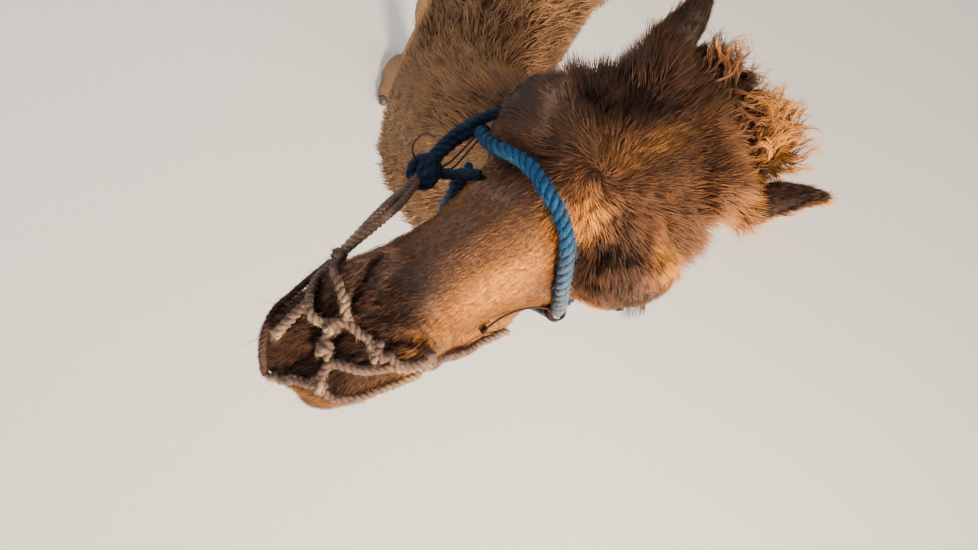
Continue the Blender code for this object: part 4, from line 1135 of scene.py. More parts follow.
# --- The coat -----------------------------------------------------------------------------------
@dataclass(frozen=True)
class Tuft:
    """A bundle of tapering hairs one unit long: it grows along Z, and its outer side is +X."""

    hairs: int = 3
    joints: int = 1
    width: float = 0.09
    spread: float = 0.16
    splay: float = 0.16
    bend: float = -0.10
    curl: float = 0.0
    variants: int = 5
    flatness: float = 0.55
    locked: bool = False
    twist: float = 4.2
    shortest: float = 0.78
    sunk: float = 0.05

    def mesh(self, name: str, draw: np.random.Generator) -> Mesh:
        """Makes one bundle, with how far along the hair each vertex is, and its place in the patch."""
        points, faces, along, place = [], [], [], []
        shared = draw.uniform(0, TURN)
        for hair in range(self.hairs):
            root = draw.uniform(-0.5, 0.5, 2) * self.spread
            aim = draw.uniform(-0.5, 0.5, 2) * self.splay
            reach = draw.uniform(self.shortest, 1.0)
            phase = shared + draw.uniform(-0.35, 0.35) if self.locked else draw.uniform(0, TURN)
            turn = draw.uniform(0, TURN)
            first = len(points)
            for joint in range(self.joints + 1):
                share = joint / self.joints
                angle = phase + self.twist * share
                wave = self.curl * share * np.array((math.cos(angle), math.sin(angle)))
                middle = root * (1 - 0.5 * share) + aim * share + wave
                middle = middle + np.array((self.bend * share * share, 0.0))
                height = reach * share * (1 - 0.25 * abs(self.bend) * share) - self.sunk * (joint == 0)
                if joint == self.joints:
                    points.append((*middle, height))
                    along.append(1.0)
                    place.append(((hair + 0.5) / self.hairs - 0.5, 0.5, 0.0))
                    continue
                radius = self.width / 2 * (1 - share) ** 0.6
                for corner in range(3):
                    angle = turn + corner * TURN / 3
                    offset = np.array((math.cos(angle) * self.flatness, math.sin(angle))) * radius
                    points.append((*(middle + offset), height))
                    along.append(share)
                    place.append(((hair + corner / 3) / self.hairs - 0.5, share - 0.5, 0.0))
            faces += self.faces(first)
        mesh = made_mesh(name, points, faces)
        mesh.shade_smooth()
        store(mesh, "along", np.array(along))
        store(mesh, "patch_place", np.array(place))
        return mesh

    def faces(self, first: int) -> list[tuple[int, ...]]:
        """One hair's faces: its foot, its sides from joint to joint, and its tip."""
        faces = [(first + 2, first + 1, first)]
        for joint in range(self.joints):
            base = first + joint * 3
            for corner in range(3):
                low = (base + corner, base + (corner + 1) % 3)
                above = (low[1] + 3, low[0] + 3) if joint < self.joints - 1 else (base + 3,)
                faces.append(low + above)
        return faces

    def collection(self, name: str, seed: int) -> Collection:
        """Makes the bundle's variants in a collection of their own, outside the scene."""
        group = bpy.data.collections.new(name)
        draw = np.random.default_rng(seed)
        for number in range(self.variants):
            label = f"{name}_{number}"
            group.objects.link(bpy.data.objects.new(label, self.mesh(label, draw)))
        return group

    def triangles(self) -> int:
        """The number of triangles in one bundle."""
        return self.hairs * (1 + (self.joints - 1) * 6 + 3)


class PieceTree:
    """A Geometry Nodes tree with named inputs that makes pieces of one kind."""

    name: str
    result: str
    inputs: dict[str, str]

    def __init__(self) -> None:
        """Builds the tree once, for every piece of its kind."""
        self.group = bpy.data.node_groups.new(self.name, "GeometryNodeTree")
        self.group.is_modifier = True
        face = self.group.interface
        self.sockets: dict[str, str] = {}
        for name, kind in self.inputs.items():
            socket = face.new_socket(name, in_out="INPUT", socket_type="NodeSocket" + kind)
            self.sockets[name] = socket.identifier
        face.new_socket(self.result, in_out="OUTPUT", socket_type="NodeSocketGeometry")
        tree = Tree(self.group)
        made = self.wire(tree, tree.node("NodeGroupInput").outputs)
        tree.node("NodeGroupOutput", i0=made)

    def wire(self, tree: Tree, given: NodeOutputs) -> Socket:
        """Wires the tree from its inputs and gives the finished geometry."""
        raise NotImplementedError

    def named(self, tree: Tree, name: str, kind: str = "FLOAT") -> Socket:
        """The value of an attribute that the geometry carries."""
        return tree.node("GeometryNodeInputNamedAttribute", {"data_type": kind}, Name=name).outputs[0]

    def kept(self, tree: Tree, geometry: Socket, name: str, value: Socket, kind: str, domain: str) -> Socket:
        """The geometry with one more attribute stored on it."""
        settings = {"data_type": kind, "domain": domain}
        inputs = {"Geometry": geometry, "Name": name, "Value": value}
        return tree.node("GeometryNodeStoreNamedAttribute", settings, **inputs).outputs[0]

    def run(self, bearer: Object, values: dict[str, object]) -> Mesh:
        """The mesh that the tree makes of the bearer, which is removed.

        Args:
            bearer: The object with the tree's first input as its mesh.
            values: The tree's other inputs by name.

        Returns:
            A plain mesh.
        """
        modifier = bearer.modifiers.new(self.name, "NODES")
        modifier.node_group = self.group
        for name, value in values.items():
            modifier[self.sockets[name]] = value
        return applied(bearer, bearer.name)


class GrowthTree(PieceTree):
    """Grows a coat of tufts on one stretch of the skin."""

    name = "coat_growth"
    result = "Coat"
    inputs = {
        "Skin": "Geometry",
        "Region": "Int",
        "Density": "Float",
        "Tufts": "Collection",
        "Untidiness": "Float",
        "Shortest": "Float",
        "Length Factor": "Float",
        "Lift Factor": "Float",
        "Variety": "Float",
        "Patch Size": "Float",
        "Seed": "Int",
        "Finish": "Material",
    }

    def chance(self, tree: Tree, low: object, high: object) -> Socket:
        """A random number for each tuft."""
        return tree.node("FunctionNodeRandomValue", {"data_type": "FLOAT"}, i2=low, i3=high).outputs[1]

    def roots(self, tree: Tree, given: NodeOutputs) -> Node:
        """Scatters the tufts' roots over the stretch."""
        settings = {"data_type": "INT", "operation": "EQUAL"}
        region = self.named(tree, "region", "INT")
        here = tree.node("FunctionNodeCompare", settings, i2=region, i3=given["Region"]).outputs[0]
        thick = tree.math("MULTIPLY", given["Density"], self.named(tree, "thick"))
        inputs = {"Mesh": given["Skin"], "Selection": here, "Density": thick, "Seed": given["Seed"]}
        return tree.node("GeometryNodeDistributePointsOnFaces", **inputs)

    def aim(self, tree: Tree, given: NodeOutputs, normal: Socket) -> Socket:
        """Turns each tuft along the coat's lie, a little untidy and lifted off the skin."""
        settings = {"data_type": "FLOAT_VECTOR"}
        ends = {"i0": (-1, -1, -1), "i1": (1, 1, 1), "Seed": given["Seed"]}
        jitter = tree.node("FunctionNodeRandomValue", settings, **ends).outputs[0]
        loose = tree.scaled(jitter, given["Untidiness"])
        lying = tree.vector("ADD", self.named(tree, "lie", "FLOAT_VECTOR"), loose)
        lift = tree.math("MULTIPLY", self.named(tree, "lift"), given["Lift Factor"])
        rise = tree.math("MULTIPLY", lift, self.chance(tree, 0.45, 1.5))
        growth = tree.vector("ADD", lying, tree.scaled(normal, rise))
        along = tree.node("FunctionNodeAlignRotationToVector", {"axis": "Z"}, Vector=growth).outputs[0]
        settings = {"axis": "X", "pivot_axis": "Z"}
        faced = tree.node("FunctionNodeAlignRotationToVector", settings, Rotation=along, Vector=normal)
        return faced.outputs[0]

    def wire(self, tree: Tree, given: NodeOutputs) -> Socket:
        """Scatters, aims, scales, places and realizes the tufts, and lays out their patches."""
        roots = self.roots(tree, given)
        facing = self.aim(tree, given, roots.outputs["Normal"])
        length = tree.math("MULTIPLY", self.named(tree, "length"), given["Length Factor"])
        size = tree.math("MULTIPLY", length, self.chance(tree, given["Shortest"], 1.12))
        apart = {"Separate_Children": True, "Reset_Children": True}
        settings = {"transform_space": "ORIGINAL"}
        bundles = tree.node("GeometryNodeCollectionInfo", settings, Collection=given["Tufts"], **apart)
        placed = tree.node(
            "GeometryNodeInstanceOnPoints",
            Points=roots.outputs["Points"],
            Instance=bundles.outputs[0],
            Pick_Instance=True,
            Rotation=facing,
            Scale=size,
        ).outputs[0]
        strand = tree.scale_add(self.chance(tree, -0.5, 0.5), given["Variety"], 0.5)
        marked = self.kept(tree, placed, "strand", strand, "FLOAT", "INSTANCE")
        real = tree.node("GeometryNodeRealizeInstances", Geometry=marked).outputs[0]
        local = tree.scaled(self.named(tree, "patch_place", "FLOAT_VECTOR"), given["Patch Size"])
        laid = tree.vector("ADD", self.named(tree, "unwrap", "FLOAT_VECTOR"), local)
        mapped = self.kept(tree, real, "OFBake", laid, "FLOAT2", "CORNER")
        return tree.node("GeometryNodeSetMaterial", Geometry=mapped, Material=given["Finish"]).outputs[0]


@dataclass(frozen=True)
class CoatPiece:
    """One stretch of the coat: where it grows, how many tufts it has and what they are like."""

    name: str
    region: Region
    budget: int
    tuft: Tuft
    untidiness: float = 0.16
    shortest: float = 0.65
    length_factor: float = 1.0
    lift_factor: float = 1.0
    variety: float = 0.30
    patch_size: float = 0.003
    spare: tuple[str, ...] = ("lie", "length", "lift", "thick", "region", "unwrap", "patch_place", "grain")

    def covered(self, mesh: Mesh) -> float:
        """The area that the piece covers, counted by how thick the coat is there."""
        area = np.array([p.area for p in mesh.polygons])
        thick = np.array([point.value for point in mesh.attributes["thick"].data])
        first = np.array([p.vertices[0] for p in mesh.polygons])
        here = np.array([face.value for face in mesh.attributes["region"].data]) == self.region.value
        return float((area * thick[first])[here].sum())

    def grow(self, hide: Object, tree: GrowthTree, finish: Material) -> Object:
        """Grows the piece on the skin.

        Args:
            hide: The skin, with its stored values.
            tree: The tree that scatters and aims the tufts.
            finish: The coat's material.

        Returns:
            The piece, a plain mesh.
        """
        covered = self.covered(hide.data)
        group = self.tuft.collection(self.name + "_tuft", 100 + self.region.value)
        values = {
            "Region": self.region.value,
            "Density": self.budget / self.tuft.triangles() / max(covered, 1e-6),
            "Tufts": group,
            "Untidiness": self.untidiness,
            "Shortest": self.shortest,
            "Length Factor": self.length_factor,
            "Lift Factor": self.lift_factor,
            "Variety": self.variety,
            "Patch Size": self.patch_size,
            "Seed": 7 + len(self.name) + self.region.value,
            "Finish": finish,
        }
        grown = tree.run(show(hide.data, self.name), values)
        for spare in self.spare:
            if spare in grown.attributes:
                grown.attributes.remove(grown.attributes[spare])
        for member in list(group.objects):
            bpy.data.objects.remove(member)
        bpy.data.collections.remove(group)
        LOG.info("%s: %d faces over %.3f square metres", self.name, len(grown.polygons), covered)
        return show(grown, self.name)


COAT = (
    CoatPiece(
        "coat_muzzle", Region.MUZZLE, 140000, Tuft(
            width=0.060, spread=0.55, splay=0.24,
        ), 0.14, variety=0.50,
    ),
    CoatPiece(
        "coat_nose", Region.NOSE, 160000, Tuft(width=0.060, spread=0.55, splay=0.20), 0.10, variety=0.46,
    ),
    CoatPiece(
        "coat_face_left", Region.FACE_LEFT, 130000, Tuft(width=0.046, spread=0.34, splay=0.16), 0.13,
        variety=0.36,
    ),
    CoatPiece(
        "coat_face_right", Region.FACE_RIGHT, 75000, Tuft(width=0.055, spread=0.34, splay=0.16), 0.13,
    ),
    CoatPiece(
        "coat_forehead", Region.FOREHEAD, 195000, Tuft(4, 1, 0.036, 0.36, 0.20, -0.14), 0.13, variety=0.38,
    ),
    CoatPiece(
        "coat_crown", Region.CROWN, 195000,
        Tuft(6, 6, 0.030, 0.12, 0.07, -0.40, 0.12, locked=True, twist=8.5), 0.42, 0.5, variety=0.50,
    ),
    CoatPiece("coat_ears", Region.EARS, 50000, Tuft(width=0.050, spread=0.3), 0.18, variety=0.10),
    CoatPiece(
        "coat_neck_upper", Region.NECK_UPPER, 140000, Tuft(3, 1, 0.060, 0.45, 0.26), 0.20, variety=0.24,
    ),
    CoatPiece(
        "coat_neck_lower", Region.NECK_LOWER, 110000, Tuft(3, 1, 0.075, 0.60, 0.28), 0.20, variety=0.20,
    ),
    CoatPiece(
        "coat_trunk_left", Region.TRUNK_LEFT, 66000, Tuft(3, 1, 0.085, 1.1, 0.22), 0.16, variety=0.14,
    ),
    CoatPiece(
        "coat_trunk_right", Region.TRUNK_RIGHT, 66000, Tuft(3, 1, 0.085, 1.1, 0.22), 0.16, variety=0.14,
    ),
    CoatPiece(
        "coat_hump", Region.HUMP, 45000, Tuft(3, 2, 0.09, 0.26, 0.26, -0.25, 0.08), 0.34, variety=0.20,
    ),
    CoatPiece("coat_legs", Region.LEGS, 62000, Tuft(3, 1, 0.09, 1.1, 0.22), 0.16, variety=0.14),
    CoatPiece("coat_tail", Region.TAIL, 20000, Tuft(3, 2, 0.08, 0.20, 0.22, -0.10, 0.05), 0.22),
    CoatPiece("whiskers", Region.MUZZLE, 2400, Tuft(1, 3, 0.014, 0, 0.3, -0.3), 0.30, 0.5, 3.6, 2.0),
)


# --- The eyes -----------------------------------------------------------------------------------
@dataclass(frozen=True)
class EyeFinish:
    """A dark brown eye with a level pupil under a wet cornea."""

    name: str = "eye"
    pupil: Colour = (0.004, 0.004, 0.005)
    iris: Colour = (0.030, 0.013, 0.006)
    rim: Colour = (0.010, 0.005, 0.003)
    white: Colour = (0.085, 0.044, 0.028)

    def build(self) -> Material:
        """Makes the material. The stored gaze is the angle off the eye's axis, in radians."""
        made, tree, shader = shader_of(self.name)
        gaze = tree.stored("gaze")
        bright = tree.mix(tree.noise(700.0, 4.0), self.rim, self.iris)
        ringed = tree.mix(tree.ranged(gaze, 0.70, 0.82), bright, self.rim)
        around = tree.mix(tree.ranged(gaze, 0.86, 1.16), ringed, self.white)
        colour = tree.mix(tree.ranged(tree.stored("pupil"), 1.06, 0.94), around, self.pupil)
        tree.fill(shader, Base_Color=colour, Roughness=0.12, Coat_Weight=1.0, Coat_Roughness=0.02)
        return made


@dataclass(frozen=True)
class Eye:
    """An eyeball whose clear front stands proud of the ball."""

    side: int
    radius: float = 0.0203
    bulge: float = 0.0011
    bulge_angle: float = 0.62
    pupil_size: tuple[float, float] = (0.34, 0.16)
    looks: Point = (0.90, -0.38, 0.05)
    rings: int = 40

    def build(self, finish: Material) -> Object:
        """Makes the eyeball and stores where its iris and pupil are."""
        name = "eyeball_left" if self.side > 0 else "eyeball_right"
        axis = Vector((self.looks[0] * self.side, *self.looks[1:])).normalized()
        up = (Vector((0, 0, 1)) - axis * axis.z).normalized()
        level = up.cross(axis)
        wide, high = self.pupil_size
        x, y, z = HEAD.eye_at
        points, gaze, pupil = [], [], []
        for ring in range(self.rings + 1):
            angle = math.pi * ring / self.rings
            for step in range(1 if ring in (0, self.rings) else self.rings):
                turn = TURN * step / self.rings
                across, rise = math.sin(angle) * math.cos(turn), math.sin(angle) * math.sin(turn)
                proud = self.bulge * max(0.0, 1 - (angle / self.bulge_angle) ** 2)
                spot = (axis * math.cos(angle) + level * across + up * rise) * (self.radius + proud)
                points.append(HEAD.world(spot + Vector((x * self.side, y, z))))
                gaze.append(angle)
                pupil.append(math.hypot(across / wide, rise / high))
        mesh = made_mesh(name, points, self.faces(len(points) - 1))
        store(mesh, "gaze", np.array(gaze))
        store(mesh, "pupil", np.array(pupil))
        mesh.materials.append(finish)
        mesh.shade_smooth()
        return show(mesh, name)

    def faces(self, last: int) -> list[tuple[int, ...]]:
        """The faces from the front pole, over the rings, to the last vertex at the rear pole."""
        around = self.rings
        faces = [(0, 1 + (s + 1) % around, 1 + s) for s in range(around)]
        for ring in range(self.rings - 2):
            for step in range(around):
                a, b = 1 + ring * around + step, 1 + ring * around + (step + 1) % around
                faces.append((a, b, b + around, a + around))
        base = last - around
        return faces + [(last, base + s, base + (s + 1) % around) for s in range(around)]


@dataclass(frozen=True)
class Lashes:
    """Rows of long lashes along the upper lids."""

    length: float = 0.016
    reach: float = 0.0247
    half_width: float = 0.0175
    half_height: float = 0.0098
    steps: int = 26
    band: float = 0.0022

    def lines(self) -> Mesh:
        """The narrow bands on the lids' edges that the lashes grow from."""
        points, faces, lies = [], [], []
        for side, place in HEAD.eyes():
            tilt = HEAD.lid_tilt(side).to_3x3()
            first = len(points)
            for step in range(self.steps + 1):
                turn = math.radians(12 + 156 * step / self.steps)
                y, z = math.cos(turn) * self.half_width, math.sin(turn) * self.half_height
                for back in (0.0, self.band):
                    x = math.sqrt(self.reach**2 - y * y - z * z)
                    points.append(HEAD.world(place + tilt @ Vector((side * x, y, z + back))))
                    way = Vector((side * 0.62, y * 12 - 0.20, -0.62 + back * 30))
                    lies.append(HEAD.turned(way.normalized()))
            for step in range(self.steps):
                a = first + 2 * step
                quad = (a, a + 2, a + 3, a + 1)
                faces.append(quad if side < 0 else quad[::-1])
        mesh = made_mesh("lash_lines", points, faces)
        store(mesh, "lie", np.array(lies))
        plain_skin(mesh, length=self.length, lift=0.15, thick=1, tone=-0.3, ash=0, bare=0)
        return mesh

    def build(self, tree: GrowthTree, finish: Material) -> Object:
        """Grows the lashes."""
        band = show(self.lines(), "lash_lines")
        tuft = Tuft(2, 4, 0.018, 0.05, 0.06, 0.05)
        piece = CoatPiece("lashes", Region.BARE, 9000, tuft, 0.08, variety=0.0)
        lashes = piece.grow(band, tree, finish)
        bpy.data.objects.remove(band)
        return lashes


# --- The halter ---------------------------------------------------------------------------------
@dataclass(frozen=True)
class RopeFinish:
    """Worn, fuzzy laid rope: painted shade in its grooves and along its shaded stretches, pale where it is
    rubbed.
    """

    name: str
    shade_colour: Colour
    main: Colour
    pale: Colour

    def build(self) -> Material:
        """Makes the material."""
        made, tree, shader = shader_of(self.name)
        along, around = tree.stored("rope_along"), tree.stored("rope_around")
        across = tree.scale_add(along, 260.0, tree.math("MULTIPLY", around, 9.0))
        lengthwise = tree.math("MULTIPLY", along, 55.0)
        lay = tree.node("ShaderNodeCombineXYZ", X=lengthwise, Y=across).outputs[0]
        fibres = tree.noise(1.0, 3.0, lay, Roughness=0.7)
        raised = tree.ranged(tree.stored("rope_out"), 0.62, 1.0)
        lightness = tree.scale_add(tree.stored("strand"), 0.8, tree.scale_add(fibres, 1.5, -0.80))
        # Painted shade: the rope is darker where its strands dip into the grooves between them.
        lightness = tree.math("MULTIPLY", lightness, tree.scale_add(raised, 0.60, 0.40))
        colour = tree.mix(lightness, self.shade_colour, self.main)
        stains = tree.scale_add(tree.noise(70.0, 4.0), 0.7, -0.40)
        worn = tree.math("MAXIMUM", tree.math("ADD", tree.stored("wear"), stains), 0.0)
        rubbed = tree.math("MINIMUM", tree.math("MULTIPLY", worn, raised), 1.0)
        # Painted shade: stretches of rope that lie in shade are mixed towards the shade colour.
        colour = tree.mix(tree.stored("dim"), tree.mix(rubbed, colour, self.pale), self.shade_colour)
        tree.fill(shader, Base_Color=colour, Normal=tree.bump(0.9, 0.0010, fibres))
        tree.fill(shader, Roughness=0.85, Sheen_Weight=0.05, Specular_IOR_Level=0.15)
        return made


class RopeTree(PieceTree):
    """Lays twisted strands along a path."""

    name = "laid_rope"
    result = "Rope"
    inputs = {
        "Path": "Geometry",
        "Strands": "Int",
        "Rope Radius": "Float",
        "Strand Radius": "Float",
        "Lay Length": "Float",
        "Step": "Float",
        "Finish": "Material",
    }
    sides = 9

    def line(self, tree: Tree, given: NodeOutputs) -> Socket:
        """The path in even steps, which keep their place, their direction and how far along they are."""
        path = tree.node("GeometryNodeMeshToCurve", Mesh=given["Path"]).outputs[0]
        settings = {"mode": "LENGTH"}
        even = tree.node("GeometryNodeResampleCurve", settings, Curve=path, Length=given["Step"]).outputs[0]
        place = tree.node("GeometryNodeInputPosition").outputs[0]
        tangent = tree.node("GeometryNodeInputTangent").outputs[0]
        length = tree.node("GeometryNodeSplineParameter").outputs["Length"]
        kept = self.kept(tree, even, "rope_centre", place, "FLOAT_VECTOR", "POINT")
        kept = self.kept(tree, kept, "lie", tangent, "FLOAT_VECTOR", "POINT")
        return self.kept(tree, kept, "rope_along", length, "FLOAT", "POINT")

    def twisted(self, tree: Tree, given: NodeOutputs) -> Socket:
        """The strands' middle lines, wound round the path."""
        settings = {"domain": "SPLINE"}
        line = self.line(tree, given)
        copies = tree.node("GeometryNodeDuplicateElements", settings, Geometry=line, Amount=given["Strands"])
        share = tree.math("DIVIDE", copies.outputs["Duplicate Index"], given["Strands"])
        length = tree.node("GeometryNodeSplineParameter").outputs["Length"]
        turns = tree.math("ADD", tree.math("DIVIDE", length, given["Lay Length"]), share)
        angle = tree.math("MULTIPLY", turns, TURN)
        normal = tree.node("GeometryNodeInputNormal").outputs[0]
        tangent = tree.node("GeometryNodeInputTangent").outputs[0]
        settings = {"rotation_type": "AXIS_ANGLE"}
        spoke = tree.node("ShaderNodeVectorRotate", settings, Vector=normal, Axis=tangent, Angle=angle)
        reach = tree.math("SUBTRACT", given["Rope Radius"], given["Strand Radius"])
        offset = tree.scaled(spoke.outputs[0], reach)
        return tree.node("GeometryNodeSetPosition", Geometry=copies.outputs[0], Offset=offset).outputs[0]

    def wire(self, tree: Tree, given: NodeOutputs) -> Socket:
        """Winds the strands, gives each a round section, and stores how far out each place is."""
        radius = given["Strand Radius"]
        circle = tree.node("GeometryNodeCurvePrimitiveCircle", Resolution=self.sides, Radius=radius)
        factor = tree.node("GeometryNodeSplineParameter").outputs["Factor"]
        section = self.kept(tree, circle.outputs[0], "rope_around", factor, "FLOAT", "POINT")
        lines = self.twisted(tree, given)
        solid = tree.node("GeometryNodeCurveToMesh", Curve=lines, Profile_Curve=section, Fill_Caps=True)
        place = tree.node("GeometryNodeInputPosition").outputs[0]
        centre = self.named(tree, "rope_centre", "FLOAT_VECTOR")
        spread = tree.node("ShaderNodeVectorMath", {"operation": "DISTANCE"}, i0=place, i1=centre)
        out = tree.math("DIVIDE", spread.outputs["Value"], given["Rope Radius"])
        marked = self.kept(tree, solid.outputs[0], "rope_out", out, "FLOAT", "POINT")
        smooth = tree.node("GeometryNodeSetShadeSmooth", Geometry=marked).outputs[0]
        real = tree.node("GeometryNodeRealizeInstances", Geometry=smooth).outputs[0]
        return tree.node("GeometryNodeSetMaterial", Geometry=real, Material=given["Finish"]).outputs[0]


@dataclass(frozen=True)
class Rope:
    """One piece of the halter: its routes in the head's frame and what it is laid from."""

    name: str
    routes: tuple[tuple[Point, ...], ...]
    radius: float
    strands: int
    lay: float
    wear: tuple[float, float] = (0.0, 0.0)
    # Painted shade: how far the rope is darkened at its start and from 0.3 of its length on.
    dim: tuple[float, float] = (0.0, 0.0)
    fuzz: int = 6000
    fuzz_length: float = 0.006
    slack: float = 0.0012
    dip: float = 0.0
    held: bool = True
    step: float = 0.0026
    eased: int = 10

    strand_share = {2: 0.60, 3: 0.52}

    def fine(self, route: tuple[Point, ...]) -> list[Vector]:
        """A smooth line in the world through the route's points, in short steps."""
        points = [HEAD.world(p) for p in route]
        fine: list[Vector] = []
        ends = [points[0] * 2 - points[1], *points, points[-1] * 2 - points[-2]]
        for a, b, c, d in zip(ends, ends[1:], ends[2:], ends[3:]):
            count = max(2, round((c - b).length / self.step))
            squared, cubed = a * 2 - b * 5 + c * 4 - d, b * 3 - a - c * 3 + d
            for t in (i / count for i in range(count)):
                fine.append((b * 2 + (c - a) * t + squared * t**2 + cubed * t**3) / 2)
        return [*fine, points[-1]]

    def path(self, route: tuple[Point, ...], skin: BVHTree) -> list[Vector]:
        """World points of one route, eased and kept clear of the skin."""
        fine = self.fine(route)
        for _ in range(self.eased if self.held else 0):
            inner = [(a + b + c * 2) / 4 for a, c, b in zip(fine, fine[1:], fine[2:])]
            fine = [fine[0], *inner, fine[-1]]
            for i, point in enumerate(fine):
                near, normal, _, _ = skin.find_nearest(point)
                clear = self.radius + self.slack + self.dip * math.sin(math.pi * i / (len(fine) - 1)) ** 2
                if (point - near).dot(normal) < clear:
                    fine[i] = near + normal * clear
        return fine

    def build(self, tree: RopeTree, skin: BVHTree, finish: Material) -> Object:
        """Lays the rope and twists its strands."""
        points, edges, wear, dim = [], [], [], []
        fresh, worn = self.wear
        middling = fresh * 0.5 + worn * 0.2
        for route in self.routes:
            path = self.path(route, skin)
            first = len(points)
            points += [tuple(p) for p in path]
            edges += [(first + i, first + i + 1) for i in range(len(path) - 1)]
            share = np.linspace(0, 1, len(path))
            wear += list(np.interp(share, (0, 0.6, 0.95), (fresh, middling, worn)))
            dim += list(np.interp(share, (0, 0.3), self.dim))
        line = bpy.data.meshes.new(self.name + "_path")
        line.from_pydata(points, edges, [])
        store(line, "wear", np.array(wear))
        store(line, "dim", np.array(dim))
        values = {
            "Strands": self.strands,
            "Rope Radius": self.radius,
            "Strand Radius": self.radius * self.strand_share[self.strands],
            "Lay Length": self.lay,
            "Step": self.step,
            "Finish": finish,
        }
        mesh = tree.run(show(line, self.name), values)
        mesh.attributes.remove(mesh.attributes["rope_centre"])
        store(mesh, "strand", np.full(len(mesh.vertices), 0.5))
        return show(mesh, self.name)

    def fray(self, rope: Object, tree: GrowthTree, finish: Material) -> Object:
        """Grows loose fibres on the rope."""
        source = rope.data.copy()
        plain_skin(source, length=self.fuzz_length, lift=0.30, thick=1)
        bearer = show(source, self.name + "_fibre_bearer")
        tuft = Tuft(3, 1, 0.050, 0.30, 1.1, -0.3)
        growth = CoatPiece(self.name + "_fibres", Region.BARE, self.fuzz, tuft, 0.6, 0.25, variety=1.0)
        fibres = growth.grow(bearer, tree, finish)
        bpy.data.objects.remove(bearer)
        rope.data.attributes.remove(rope.data.attributes["lie"])
        return fibres


def coil(
    centre: Point, axis: Point, radius: float, turns: float, height: float, lean: float = 0.0
) -> tuple[Point, ...]:
    """A coil round an axis, as a route.

    Args:
        centre: The coil's middle.
        axis: The way it winds along.
        radius: From the axis to the rope's middle.
        turns: How many times it goes round.
        height: How far it climbs along the axis.
        lean: How far each turn leans along the axis.

    Returns:
        The route's points.
    """
    way = Vector(axis).normalized()
    first = way.orthogonal().normalized()
    second = way.cross(first)
    count = round(turns * 9)
    points = []
    for i in range(count + 1):
        angle = TURN * turns * i / count
        rise = height * (i / count - 0.5) + lean * math.sin(angle)
        spot = Vector(centre) + (first * math.cos(angle) + second * math.sin(angle)) * radius + way * rise
        points.append(tuple(spot))
    return tuple(points)


